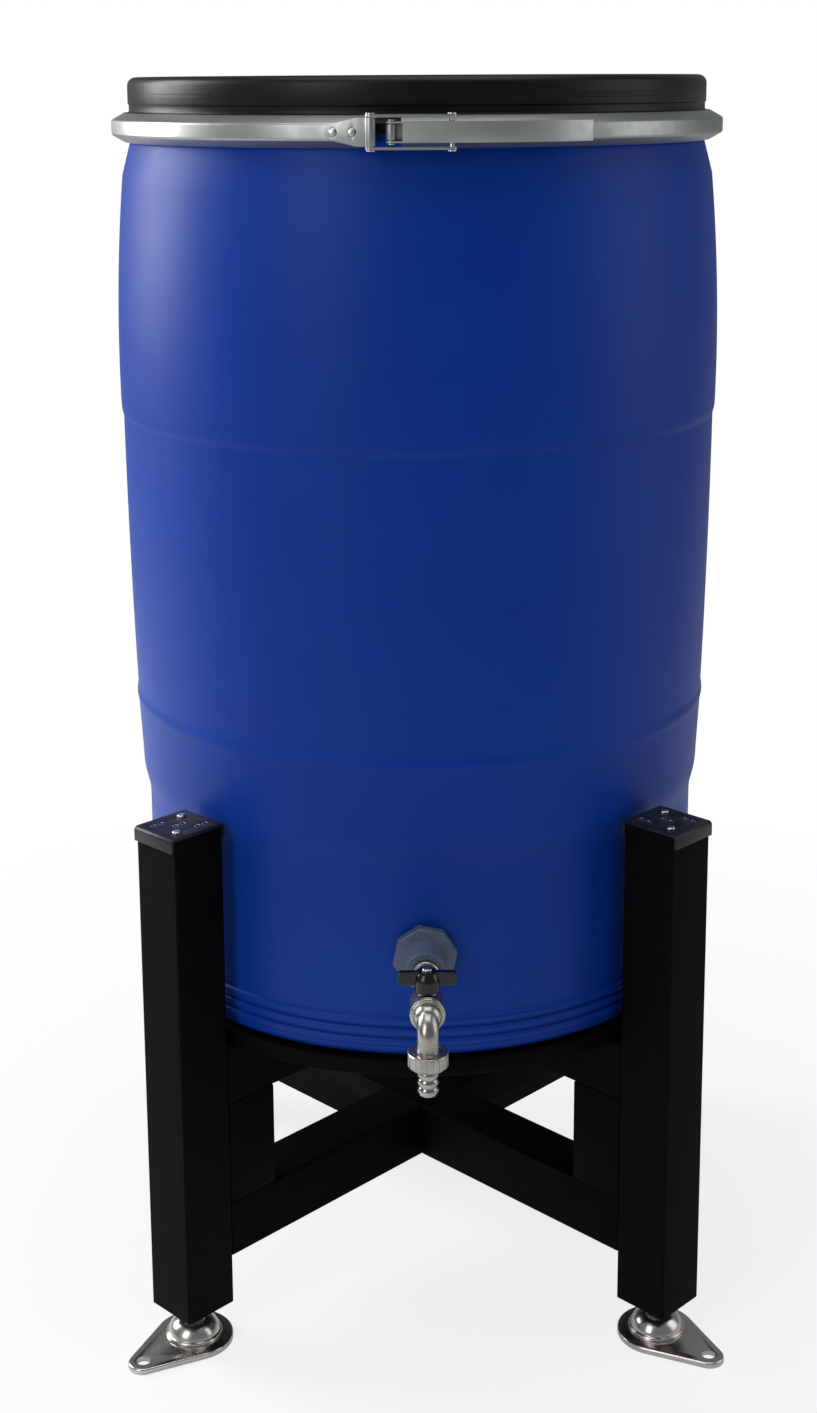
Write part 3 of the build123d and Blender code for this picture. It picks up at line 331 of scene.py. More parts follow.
@dataclass(frozen=True)
class DrumPlastic:
    """Blue blown polyethylene with a satin skin."""

    slot: str = "drum"
    deep: Colour = (0.0003, 0.034, 0.3)
    bright: Colour = (0.0005, 0.044, 0.335)
    chalk: Colour = (0.03, 0.08, 0.32)
    drag: Triple = (46.0, 46.0, 2.2)
    scuff: Triple = (160.0, 160.0, 24.0)
    rough: float = 0.36
    specular: float = 0.17

    def make(self) -> Material:
        """Mix a cloudy blue with faint vertical drag, a fine skin and a few scuffs.

        Returns:
            The material.
        """
        shade = Shade("drum plastic")
        cloud = shade.patches(shade.noise(5.0, 4.0, 0.55), 0.3, 0.7)
        drag = shade.drawn(self.drag, 3.0, 0.6)
        scuffs = shade.patches(shade.drawn(self.scuff, 6.0, 0.7), 0.66, 0.74)
        worn = scuffs * shade.patches(shade.noise(7.0, 2.0), 0.5, 0.62, 0.6)
        colour = shade.tint(cloud, self.deep, self.bright)
        colour = shade.tint(worn * 0.35, colour, self.chalk)
        rough = self.rough + shade.noise(36.0, 4.0) * 0.08 + drag * 0.05 + worn * 0.08
        waves = shade.bump(shade.noise(9.0, 2.0), 0.35, 0.0012)
        skin = shade.bump(shade.noise(520.0, 3.0, 0.6), 0.16, 0.0003, waves)
        return shade.finish(colour, rough, Normal=skin, Specular_IOR_Level=self.specular)


@dataclass(frozen=True)
class LidPlastic:
    """Black moulded polyethylene, semi-gloss, finely grained."""

    slot: str = "lid"
    black: Colour = (0.005, 0.005, 0.0065)
    dusty: Colour = (0.012, 0.0115, 0.012)
    rub: Triple = (30.0, 30.0, 300.0)
    rough: float = 0.3
    specular: float = 0.2

    def make(self) -> Material:
        """Mix black with dust clouds, a fine grain and light rubbing.

        Returns:
            The material.
        """
        shade = Shade("lid plastic")
        dust = shade.patches(shade.noise(14.0, 5.0, 0.6), 0.45, 0.75)
        rub = shade.drawn(self.rub, 4.0, 0.6)
        colour = shade.tint(dust * 0.5, self.black, self.dusty)
        rough = self.rough + dust * 0.08 + rub * 0.07
        grain = shade.bump(shade.noise(620.0, 2.0), 0.22, 0.0003)
        return shade.finish(colour, rough, Normal=grain, Specular_IOR_Level=self.specular)


@dataclass(frozen=True)
class Galvanised:
    """Satin galvanised sheet with a faint spangle."""

    slot: str = "ring_steel"
    name: str = "galvanised sheet"
    pale: Colour = (0.4, 0.415, 0.415)
    dull: Colour = (0.3, 0.315, 0.32)
    rough: float = 0.34
    rolling: Triple = (26.0, 26.0, 900.0)
    scratch: Triple = (90.0, 90.0, 1400.0)

    def make(self) -> Material:
        """Mix spangle patches with rolling lines and small scratches.

        Returns:
            The material.
        """
        shade = Shade(self.name)
        cells = shade.cells(150.0, "Color")
        spangle = shade.node("ShaderNodeSeparateColor", {}, {"Color": cells}, "Red")
        clouds = shade.patches(shade.noise(22.0, 4.0, 0.6), 0.35, 0.7)
        rolling = shade.drawn(self.rolling, 3.0, 0.6)
        scratches = shade.patches(shade.drawn(self.scratch, 4.0, 0.7), 0.6, 0.7)
        colour = shade.tint(clouds * 0.6 + spangle * 0.25, self.pale, self.dull)
        rough = self.rough + spangle * 0.05 + clouds * 0.07 + scratches * 0.06
        lines = shade.bump(rolling, 0.12, 0.0002)
        skin = shade.bump(shade.noise(700.0, 2.0), 0.06, 0.0002, lines)
        return shade.finish(colour, rough, Metallic=1.0, Normal=skin)


@dataclass(frozen=True)
class CastMetal:
    """Nickel-plated cast metal: a fine cast skin under a satin plating."""

    slot: str = "tap_brass"
    name: str = "plated casting"
    plate: Colour = (0.43, 0.42, 0.39)
    shadow: Colour = (0.25, 0.225, 0.185)
    rough: float = 0.24
    skin: float = 0.3

    def make(self) -> Material:
        """Mix warm patches with tiny pits and a soft cast skin.

        Returns:
            The material.
        """
        shade = Shade(self.name)
        patches = shade.patches(shade.noise(90.0, 5.0, 0.6), 0.4, 0.72)
        pits = shade.pits(900.0, 0.25)
        colour = shade.tint(patches * 0.5 + pits * 0.2, self.plate, self.shadow)
        rough = self.rough + patches * 0.1 + pits * 0.08
        swell = shade.bump(shade.noise(160.0, 3.0), self.skin, 0.0005)
        pitted = shade.bump(1 - pits, self.skin * 0.5, 0.0001, swell)
        return shade.finish(colour, rough, Metallic=1.0, Normal=pitted)


@dataclass(frozen=True)
class PolishedSteel:
    """Polished stainless steel with hairline scratches and finger marks."""

    slot: str = "foot_steel"
    name: str = "polished steel"
    bright: Colour = (0.62, 0.6, 0.57)
    warm: Colour = (0.5, 0.46, 0.4)
    rough: float = 0.2
    hair: Triple = (500.0, 60.0, 200.0)

    def make(self) -> Material:
        """Mix smears in the polish with hairline scratches.

        Returns:
            The material.
        """
        shade = Shade(self.name)
        smears = shade.patches(shade.noise(30.0, 4.0, 0.6), 0.4, 0.7)
        hairs = shade.patches(shade.drawn(self.hair, 5.0, 0.7), 0.58, 0.7)
        colour = shade.tint(smears * 0.5, self.bright, self.warm)
        rough = self.rough + smears * 0.1 + hairs * 0.06
        skin = shade.bump(shade.noise(240.0, 3.0), 0.06, 0.0003)
        return shade.finish(colour, rough, Metallic=1.0, Normal=skin)


@dataclass(frozen=True)
class GreyPlastic:
    """Plain moulded plastic for the connector, the seats and the handle."""

    slot: str = "connector_plastic"
    name: str = "connector plastic"
    body: Colour = (0.075, 0.1, 0.17)
    worn: Colour = (0.12, 0.145, 0.21)
    rough: float = 0.42
    grain: float = 0.15

    def make(self) -> Material:
        """Mix a soft grain with pale rubbed places.

        Returns:
            The material.
        """
        shade = Shade(self.name)
        rubbed = shade.patches(shade.noise(60.0, 5.0, 0.65), 0.48, 0.7)
        colour = shade.tint(rubbed * 0.7, self.body, self.worn)
        rough = self.rough + rubbed * 0.1
        skin = shade.bump(shade.noise(800.0, 3.0), self.grain, 0.0003)
        return shade.finish(colour, rough, Normal=skin)


@dataclass(frozen=True)
class StandPlastic:
    """Black extruded plastic of the posts, beams and board: matt, with a drawn grain."""

    slot: str = "stand_plastic"
    name: str = "stand plastic"
    black: Colour = (0.0016, 0.0017, 0.0021)
    dusty: Colour = (0.008, 0.0085, 0.0095)
    along: Triple = (420.0, 420.0, 18.0)
    rough: float = 0.58
    specular: float = 0.06

    def make(self) -> Material:
        """Mix drawn lines with a pebbled grain, dust and small nicks.

        Returns:
            The material.
        """
        shade = Shade(self.name)
        dust = shade.patches(shade.noise(26.0, 6.0, 0.65), 0.5, 0.8)
        lines = shade.drawn(self.along, 4.0, 0.6)
        nicks = shade.pits(130.0, 0.09)
        colour = shade.tint(dust * 0.45 + nicks * 0.25, self.black, self.dusty)
        rough = self.rough + dust * 0.14 + lines * 0.12
        drawn = shade.bump(lines, 0.3, 0.0005)
        grain = shade.bump(shade.noise(900.0, 4.0, 0.7), 0.35, 0.0004, drawn)
        nicked = shade.bump(1 - nicks, 0.4, 0.0006, grain)
        return shade.finish(colour, rough, Normal=nicked, Specular_IOR_Level=self.specular)


@dataclass(frozen=True)
class CapPaint:
    """Satin black coat on the bent caps, with a fine orange-peel."""

    slot: str = "cap_metal"
    name: str = "cap coat"
    coat: Colour = (0.008, 0.009, 0.012)
    rubbed: Colour = (0.05, 0.055, 0.06)
    rough: float = 0.36
    specular: float = 0.3

    def make(self) -> Material:
        """Mix orange-peel with dust and rubbed flecks.

        Returns:
            The material.
        """
        shade = Shade(self.name)
        dust = shade.patches(shade.noise(80.0, 5.0, 0.6), 0.45, 0.75)
        flecks = shade.patches(shade.noise(520.0, 3.0, 0.6), 0.66, 0.72)
        colour = shade.tint(dust * 0.3 + flecks * 0.3, self.coat, self.rubbed)
        rough = self.rough + dust * 0.12
        peel = shade.bump(shade.noise(420.0, 2.0), 0.2, 0.0004)
        return shade.finish(colour, rough, Normal=peel, Specular_IOR_Level=self.specular)


@dataclass(frozen=True)
class Rubber:
    """Matt black rubber of the seals."""

    slot: str = "seal"
    black: Colour = (0.012, 0.012, 0.012)
    bloom: Colour = (0.035, 0.035, 0.036)
    rough: float = 0.62

    def make(self) -> Material:
        """Mix a dull skin with bloom.

        Returns:
            The material.
        """
        shade = Shade("seal rubber")
        bloom = shade.patches(shade.noise(120.0, 4.0, 0.6), 0.45, 0.75)
        colour = shade.tint(bloom * 0.6, self.black, self.bloom)
        skin = shade.bump(shade.noise(900.0, 3.0), 0.2, 0.0002)
        return shade.finish(colour, self.rough + bloom * 0.1, Normal=skin)


class Finish(Enum):
    """Every finish on the tank."""

    DRUM = DrumPlastic()
    LID = LidPlastic()
    SHEET = Galvanised()
    LEVER = Galvanised(
        name="lever sheet", pale=(0.46, 0.485, 0.48), dull=(0.36, 0.385, 0.38), rough=0.38
    )
    RIVET = Galvanised("rivet_steel", "rivet steel", (0.6, 0.6, 0.59), (0.42, 0.42, 0.41), 0.22)
    TAP = CastMetal()
    TAP_BRIGHT = CastMetal(name="turned plating", rough=0.14, skin=0.12)
    BALL = PolishedSteel("ball_chrome", "ball chrome", (0.7, 0.7, 0.7), (0.6, 0.6, 0.6), 0.06)
    FOOT = PolishedSteel()
    CONNECTOR = GreyPlastic()
    SEAT = GreyPlastic(
        "seat_plastic", "seat plastic", (0.7, 0.7, 0.68), (0.6, 0.6, 0.58), 0.35, 0.05
    )
    HANDLE = GreyPlastic(
        "handle_plastic", "handle coat", (0.0025, 0.0025, 0.003), (0.008, 0.008, 0.009), 0.2, 0.1
    )
    POST = StandPlastic()
    BEAM = StandPlastic(name="beam plastic", along=(60.0, 60.0, 420.0))
    BOARD = StandPlastic(name="board plastic", along=(120.0, 120.0, 200.0))
    CAP = CapPaint()
    RUBBER = Rubber()

    @property
    def material(self) -> Material:
        """The finish's material, made once."""
        if self.name not in MADE:
            MADE[self.name] = self.value.make()
        return MADE[self.name]


MADE: dict[str, Material] = {}


# Modelling steps.


class Outline:
    """A profile of (radius, height) points in millimetres, drawn step by step."""

    def __init__(self, *points: Point) -> None:
        """Start with the given points."""
        self.points: list[Point] = list(points)

    def line(self, *points: Point) -> "Outline":
        """Go straight through more points."""
        self.points += points
        return self

    def arc(self, through: Point, end: Point, steps: int) -> "Outline":
        """Go along a circle.

        Args:
            through: A point on the arc.
            end: The arc's end.
            steps: The number of straight pieces.

        Returns:
            The outline.
        """
        (ax, ay), (bx, by), (cx, cy) = self.points[-1], through, end
        area = 2 * (ax * (by - cy) + bx * (cy - ay) + cx * (ay - by))
        if abs(area) < NO_AREA:
            return self.line(end)
        a2, b2, c2 = ax * ax + ay * ay, bx * bx + by * by, cx * cx + cy * cy
        ux = (a2 * (by - cy) + b2 * (cy - ay) + c2 * (ay - by)) / area
        uy = (a2 * (cx - bx) + b2 * (ax - cx) + c2 * (bx - ax)) / area
        radius = math.hypot(ax - ux, ay - uy)
        corners = ((ax, ay), (bx, by), (cx, cy))
        start, middle, stop = (math.atan2(y - uy, x - ux) for x, y in corners)
        span = (stop - start) % TURN
        if (middle - start) % TURN > span:
            span -= TURN
        for step in range(1, steps + 1):
            angle = start + span * step / steps
            self.points.append((ux + radius * math.cos(angle), uy + radius * math.sin(angle)))
        return self

    def curve(self, first: Point, second: Point, end: Point, steps: int) -> "Outline":
        """Go along a Bezier curve.

        Args:
            first: The control point near the start.
            second: The control point near the end.
            end: The curve's end.
            steps: The number of straight pieces.

        Returns:
            The outline.
        """
        corners = (self.points[-1], first, second, end)
        for step in range(1, steps + 1):
            t = step / steps
            weights = ((1 - t) ** 3, 3 * t * (1 - t) ** 2, 3 * t * t * (1 - t), t**3)
            x, y = (sum(w * c[axis] for w, c in zip(weights, corners)) for axis in (0, 1))
            self.points.append((x, y))
        return self

    def rounded(self, radius: float, steps: int) -> "Outline":
        """Round every inner corner of the outline so far.

        Args:
            radius: The corner radius.
            steps: Straight pieces in each rounding.

        Returns:
            The outline.
        """
        points = [Vector(point) for point in self.points]
        result = [points[0]]
        for before, corner, after in zip(points, points[1:], points[2:]):
            back, ahead = (before - corner), (after - corner)
            half = back.angle(ahead) / 2
            reach = min(radius / math.tan(half), 0.49 * back.length, 0.49 * ahead.length)
            start, end = corner + back.normalized() * reach, corner + ahead.normalized() * reach
            for step in range(steps + 1):
                t = step / steps
                result.append(start * (1 - t) ** 2 + corner * 2 * t * (1 - t) + end * t * t)
        result.append(points[-1])
        self.points = [(point.x, point.y) for point in result]
        return self


class Bench:
    """Modelling steps shared by the sub-assemblies."""

    @staticmethod
    def clear() -> None:
        """Leave edit mode and deselect everything."""
        if bpy.context.object and bpy.context.object.mode != "OBJECT":
            bpy.ops.object.mode_set(mode="OBJECT")
        bpy.ops.object.select_all(action="DESELECT")

    @staticmethod
    def choose(piece: Piece) -> None:
        """Make a piece the only selected and active object.

        Args:
            piece: The piece.
        """
        Bench.clear()
        piece.select_set(True)
        bpy.context.view_layer.objects.active = piece

    @staticmethod
    def on_all(step: Callable[..., object], **settings: object) -> None:
        """Run an edit-mode step on a whole mesh."""
        bpy.ops.mesh.select_all(action="SELECT")
        step(**settings)

    @staticmethod
    def lathe(
        name: str,
        outline: Outline,
        steps: int,
        centre: Sequence[float] = (0, 0, 0),
        axis: Sequence[float] = (0, 0, 1),
        radial: Sequence[float] = (1, 0, 0),
        sweep: float = TURN,
        closed: bool = False,
    ) -> Piece:
        """Spin an outline round an axis.

        Args:
            name: The piece's name.
            outline: Its profile in millimetres.
            steps: Faces round the axis.
            centre: A point on the axis in millimetres, at height 0 of the outline.
            axis: The axis, along the outline's heights.
            radial: The direction of the outline's radii at the start.
            sweep: The angle to spin through.
            closed: Whether the outline's ends are joined.

        Returns:
            The finished mesh object at the origin.
        """
        base, out, up = Vector(centre) * MM, Vector(radial), Vector(axis)
        places = [base + out * radius * MM + up * height * MM for radius, height in outline.points]
        if closed:
            places.append(places[0])
        Bench.clear()
        bpy.ops.mesh.primitive_plane_add(size=MM, location=places[0])
        piece = bpy.context.object
        piece.name = piece.data.name = name
        bpy.ops.object.transform_apply(location=True)
        bpy.ops.object.mode_set(mode="EDIT")
        Bench.on_all(bpy.ops.mesh.merge, type="CENTER")
        for before, after in zip(places, places[1:]):
            bpy.ops.mesh.extrude_region_move(TRANSFORM_OT_translate={"value": after - before})
        Bench.on_all(bpy.ops.mesh.remove_doubles, threshold=SAME)
        Bench.on_all(bpy.ops.mesh.spin, steps=steps, angle=-sweep, center=base, axis=up)
        Bench.on_all(bpy.ops.mesh.remove_doubles, threshold=2 * SAME)
        if sweep < TURN:
            Bench.on_all(bpy.ops.mesh.fill_holes, sides=0)
        Bench.on_all(bpy.ops.mesh.normals_make_consistent, inside=False)
        bpy.ops.object.mode_set(mode="OBJECT")
        Bench.smooth(piece)
        return piece

    @staticmethod
    def smooth(piece: Piece, angle: float = 32.0) -> None:
        """Shade a piece smooth, with sharp edges above an angle in degrees."""
        Bench.choose(piece)
        bpy.ops.object.shade_smooth_by_angle(angle=math.radians(angle))

    @staticmethod
    def copied(node: str, name: str) -> Piece:
        """Copy a CAD node's mesh, merged, with its flat faces joined.

        Args:
            node: The CAD node.
            name: The new piece's name.

        Returns:
            The new piece at the origin.
        """
        piece = bpy.data.objects.new(name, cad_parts[node].data.copy())
        bpy.context.scene.collection.objects.link(piece)
        Bench.choose(piece)
        if piece.data.has_custom_normals:
            bpy.ops.mesh.customdata_custom_splitnormals_clear()
        bpy.ops.object.mode_set(mode="EDIT")
        Bench.on_all(bpy.ops.mesh.remove_doubles, threshold=SAME)
        Bench.on_all(bpy.ops.mesh.dissolve_limited, angle_limit=math.radians(FLAT))
        bpy.ops.object.mode_set(mode="OBJECT")
        return piece

    @staticmethod
    def softened(piece: Piece, width: float) -> Piece:
        """Round a piece's sharp edges.

        Args:
            piece: The piece.
            width: The rounding in millimetres.

        Returns:
            The same piece.
        """
        Bench.choose(piece)
        bevel = piece.modifiers.new("rounding", "BEVEL")
        bevel.width = width * MM
        bevel.segments = ROUNDING_FACES
        bevel.limit_method = "ANGLE"
        bevel.angle_limit = math.radians(SHARP)
        bpy.ops.object.modifier_apply(modifier=bevel.name)
        Bench.smooth(piece)
        return piece

    @staticmethod
    def joined(name: str, pieces: Sequence[Piece]) -> Piece:
        """Join pieces.

        Args:
            name: The joined piece's name.
            pieces: The pieces; the first takes in the others.

        Returns:
            The first piece.
        """
        Bench.choose(pieces[0])
        for piece in pieces:
            piece.select_set(True)
        bpy.ops.object.join()
        pieces[0].name = pieces[0].data.name = name
        return pieces[0]


def dress(piece: Piece, finish: Finish, *nodes: str, body: str = Body.TANK.value) -> None:
    """Give a new piece its finish and its body.

    Args:
        piece: The new piece.
        finish: Its finish.
        *nodes: The CAD nodes that it stands for.
        body: The body it rides on.
    """
    piece.data.materials.clear()
    piece.data.materials.append(finish.material)
    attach(piece, body)
    if nodes:
        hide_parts(*nodes)
    LOG.info("%s rides on %s", piece.name, body)


def refinish(node: str, finish: Finish) -> None:
    """Give a CAD node that stays in view its finish.

    Args:
        node: The CAD node.
        finish: Its finish.
    """
    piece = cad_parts[node]
    piece.data.materials.clear()
    piece.data.materials.append(finish.material)
    LOG.info("%s keeps its solid", node)


@dataclass(frozen=True)
class Part:
    """A CAD node that a copy with rounded edges stands for."""

    node: str
    name: str
    finish: Finish
    softness: float
    body: str = Body.TANK.value

    def make(self, *extras: Piece) -> None:
        """Copy the node, round it and dress it.

        Args:
            *extras: Pieces to join to it.
        """
        piece = Bench.softened(Bench.copied(self.node, self.name), self.softness)
        if extras:
            piece = Bench.joined(self.name, [piece, *extras])
        dress(piece, self.finish, self.node, body=self.body)


# Sub-assemblies. Their sizes are millimetres and degrees.


@dataclass
class Drum:
    """The blown drum with its ribs, waist, seams, belly, shoulder and rim."""

    base: float = 328.0
    hollow: float = 5.0
    foot: float = 268.0
    lower: float = 285.0
    waist: float = 291.2
    seam: float = 294.5
    belly: float = 300.0
    shoulder: float = 293.8
    rim: float = 298.5
    rim_top: float = 1193.3
    wall: float = 3.6
    ribs: int = 3
    rib_pitch: float = 10.5
    rib_foot: float = 11.0
    rib_gap: float = 2.1
    rib_proud: float = 3.0
    bore: float = 17.0
    bore_length: float = 60.0
    bore_reach: float = 283.0
    bore_height: float = 435.0
    faces: int = 224

    def side(self, outline: Outline, inset: float) -> Outline:
        """Draw the side from the ribs to the shoulder.

        Args:
            outline: The outline to go on with.
            inset: How far inside the outer skin.

        Returns:
            The same outline.
        """

        def at(radius: float, height: float) -> Point:
            """Give a point of the skin by its height above the drum's foot."""
            return radius - inset, self.base + height

        outline.line(at(self.lower, 180))
        outline.curve(at(self.lower, 204), at(self.waist, 204), at(self.waist, 228), 14)
        outline.line(at(294.2, 283.4))
        outline.curve(at(self.seam, 286.5), at(295.4, 289), at(295.6, 292), 6)
        outline.curve(at(295.8, 295.5), at(self.seam, 298), at(self.seam, 302), 6)
        outline.arc(at(298.1, 436), at(self.belly, 579), 20)
        outline.curve(at(self.belly, 582), at(300.2, 583), at(301.1, 586), 6)
        outline.curve(at(301.9, 589), at(302.1, 592), at(302.2, 597), 6)
        return outline.arc(at(302, 690), at(self.shoulder, 820), 24)

    def outer(self) -> Outline:
        """Draw the outside from the foot's middle to the rim's inner edge.

        Returns:
            The outline.
        """
        z, hollow = self.base, self.base + self.hollow
        outline = Outline((0, hollow), (150, hollow), (252, hollow))
        outline.curve((255, hollow), (256, z), (259, z), 5).line((self.foot, z))
        outline.curve((280.6, z), (self.lower, z + 3.3), (self.lower, z + self.rib_foot), 8)
        proud = self.lower + self.rib_proud
        for rib in range(self.ribs):
            low = z + self.rib_foot + rib * self.rib_pitch
            gap, high = low + self.rib_gap, low + self.rib_pitch
            outline.line((self.lower, low + self.rib_gap * 0.6))
            outline.curve((self.lower + 1.2, gap), (proud, gap), (proud, (gap + high) / 2), 6)
            outline.curve((proud, high - 1), (self.lower + 0.8, high - 0.8), (self.lower, high), 6)
        self.side(outline, 0)
        outline.line((285.5, 1179.4), (self.rim, 1186.7), (self.rim, self.rim_top))
        return outline.line((283, self.rim_top), (281.9, 1179.5))

    def bored(self, shell: Piece) -> Piece:
        """Bore the wall for the tap.

        Args:
            shell: The drum's shell.

        Returns:
            The same shell.
        """
        Bench.clear()
        bpy.ops.mesh.primitive_cylinder_add(
            vertices=64, radius=self.bore * MM, depth=self.bore_length * MM
        )
        bore = bpy.context.object
        bore.rotation_euler = (math.pi / 2, 0, 0)
        bore.location = (0, -self.bore_reach * MM, self.bore_height * MM)
        Bench.choose(shell)
        cut = shell.modifiers.new("tap bore", "BOOLEAN")
        cut.operation = "DIFFERENCE"
        cut.solver = "EXACT"
        cut.object = bore
        bpy.ops.object.modifier_apply(modifier=cut.name)
        bpy.data.objects.remove(bore)
        return shell

    def make(self) -> None:
        """Spin the shell, bore it for the tap and dress it."""
        z, inside = self.base, self.lower - self.wall
        inner = Outline((inside, z + self.rib_foot + 33))
        self.side(inner, self.wall)
        outline = self.outer().line(*reversed(inner.points))
        outline.line((inside, z + 20), (self.foot, z + 4), (0, z + self.hollow + self.wall))
        shell = self.bored(Bench.lathe("drum_skin", outline, self.faces))
        Bench.smooth(shell, 40)
        dress(shell, Finish.DRUM, "drum_shell")


@dataclass
class Lid:
    """The moulded lid with its clamped flange, step, rolled top edge and raised lines."""

    ring: float = 1194.5
    top: float = 1242.5
    dish: float = 6.0
    wall: float = 286.4
    step: float = 285.3
    flange: float = 298.5
    plug: float = 277.9
    faces: int = 200
    line_heights: tuple[float, float] = (32.5, 29.1)
    line_proud: float = 0.6
    line_middle: float = 39.0
    line_angle: float = 20.0
    line_count: int = 4
    line_faces: int = 20

    def lines(self) -> list[Piece]:
        """Spin the pairs of raised lines.

        Returns:
            One strip for each line.
        """
        strips = []
        sweep = math.radians(self.line_angle)
        root, wall, crest = self.wall - 1, self.wall, self.wall + self.line_proud
        for turn in range(self.line_count):
            start = self.line_middle - self.line_angle / 2 + turn * 360 / self.line_count + FRONT
            for height in self.line_heights:
                z = self.ring + height
                outline = Outline((root, z - 0.9), (wall, z - 0.8), (crest, z - 0.4))
                outline.line((crest, z + 0.4), (wall, z + 0.8), (root, z + 0.9))
                strip = Bench.lathe(
                    "line", outline, self.line_faces, radial=level(start), sweep=sweep, closed=True
                )
                strips.append(strip)
        return strips

    def make(self) -> None:
        """Spin the lid, join its lines and dress it."""
        top, ring, dish = self.top, self.ring, self.top - self.dish
        wall, step, flange, plug = self.wall, self.step, self.flange, self.plug
        outline = Outline((0, top - 5.2), (118, top - 5.2))
        outline.curve((121, top - 5.2), (122, dish), (125, dish), 5).line((196, dish))
        outline.curve((198, dish), (198.5, top - 5), (200.5, top - 5), 4)
        outline.curve((202.5, top - 5), (203, dish), (205, dish), 4).line((250, dish))
        outline.curve((256, dish), (257.5, top - 5), (259, top - 3), 6)
        outline.curve((260.5, top - 0.8), (262, top), (266, top), 6).line((277.5, top))
        outline.arc((284.0, top - 2.6), (wall, top - 9), 10).line((wall, ring + 23))
        outline.curve((wall, ring + 22), (step, ring + 22), (step, ring + 21), 3)
        outline.line((step, 1210.8)).curve((step, 1209.8), (285.5, 1209.6), (286.2, 1209.2), 4)
        outline.line((297.6, 1202.8)).curve((flange, 1202.3), (flange, 1202), (flange, 1201), 4)
        outline.line((flange, 1195.7), (281.3, 1195.7), (281.3, 1183), (280.3, 1181.7))
        outline.line((278.9, 1181.7), (plug, 1183), (plug, top - 16))
        outline.line((265.3, top - 7), (262, top - 9.4), (0, top - 9.4))
        shell = Bench.lathe("lid_moulding", outline, self.faces)
        lid = Bench.joined("lid_moulding", [shell, *self.lines()])
        dress(lid, Finish.LID, "drum_lid")


@dataclass
class Ring:
    """The rolled clamp ring with hemmed edges, open between its brackets."""

    mid: float = 1194.5
    radius: float = 303.0
    flat: float = 14.0
    run: float = 12.5
    rise: float = 7.0
    sheet: float = 1.2
    start: float = -3.4
    end: float = -7.6
    outer_bend: float = 3.4
    inner_bend: float = 2.0
    inner_drop: float = 0.65
    hem_inset: float = 0.3
    hem_proud: float = 0.45
    hem_drop: float = 0.4
    faces: int = 236

    def make(self) -> None:
        """Spin the channel and dress it."""
        inner, half = self.radius - self.run, self.flat / 2
        low, high = self.mid - half, self.mid + half
        foot, head = low - self.rise, high + self.rise
        outer = Outline((inner, foot), (self.radius, low), (self.radius, high), (inner, head))
        outer.rounded(self.outer_bend, 6)
        lip, web, sheet = inner + self.hem_inset, self.radius - self.sheet, self.sheet * 1.1
        inside = Outline((lip, foot + sheet), (web, low + self.inner_drop))
        inside.line((web, high - self.inner_drop), (lip, head - sheet)).rounded(self.inner_bend, 5)
        outer.arc((inner - self.hem_proud, head - self.hem_drop), inside.points[-1], 4)
        outer.line(*reversed(inside.points[:-1]))
        outer.arc((inner - self.hem_proud, foot + self.hem_drop), outer.points[0], 4)
        outer.points.pop()
        out, sweep = level(self.start + FRONT), math.radians(360 - self.start + self.end)
        ring = Bench.lathe("rolled_ring", outer, self.faces, radial=out, sweep=sweep, closed=True)
        dress(ring, Finish.SHEET, "clamp_ring")


@dataclass
class Closure:
    """The lever closure: brackets, pins, rivets, lever and link bars."""

    pieces: tuple[tuple[str, Finish, float, Body], ...] = (
        ("hook_bracket", Finish.SHEET, 0.45, Body.TANK),
        ("lever_bracket", Finish.SHEET, 0.35, Body.TANK),
        ("clamp_lever", Finish.LEVER, 0.5, Body.LEVER),
        ("link_bar_upper", Finish.SHEET, 0.5, Body.LINKS),
        ("link_bar_lower", Finish.SHEET, 0.5, Body.LINKS),
        ("link_pin", Finish.RIVET, 0.4, Body.LINKS),
        ("link_end_rivets", Finish.RIVET, 0.4, Body.LINKS),
        ("lever_pin", Finish.RIVET, 0.4, Body.TANK),
        ("ring_rivets", Finish.RIVET, 0.5, Body.TANK),
    )

    def make(self) -> None:
        """Round every piece's edges and dress it."""
        for node, finish, softness, body in self.pieces:
            Part(node, f"{node}_formed", finish, softness, body.value).make()
        refinish("hook_pin", Finish.RIVET)


@dataclass
class Connector:
    """The grey tank connector with its gaskets and back nut."""

    softness: float = 0.7
    seals: tuple[str, ...] = ("connector_gasket", "inner_gasket", "lid_gasket", "hose_washer")

    def make(self) -> None:
        """Round the moulded connector and dress its neighbours."""
        Part("tank_connector", "connector_moulding", Finish.CONNECTOR, self.softness).make()
        refinish("back_nut", Finish.CONNECTOR)
        for seal in self.seals:
            refinish(seal, Finish.RUBBER)


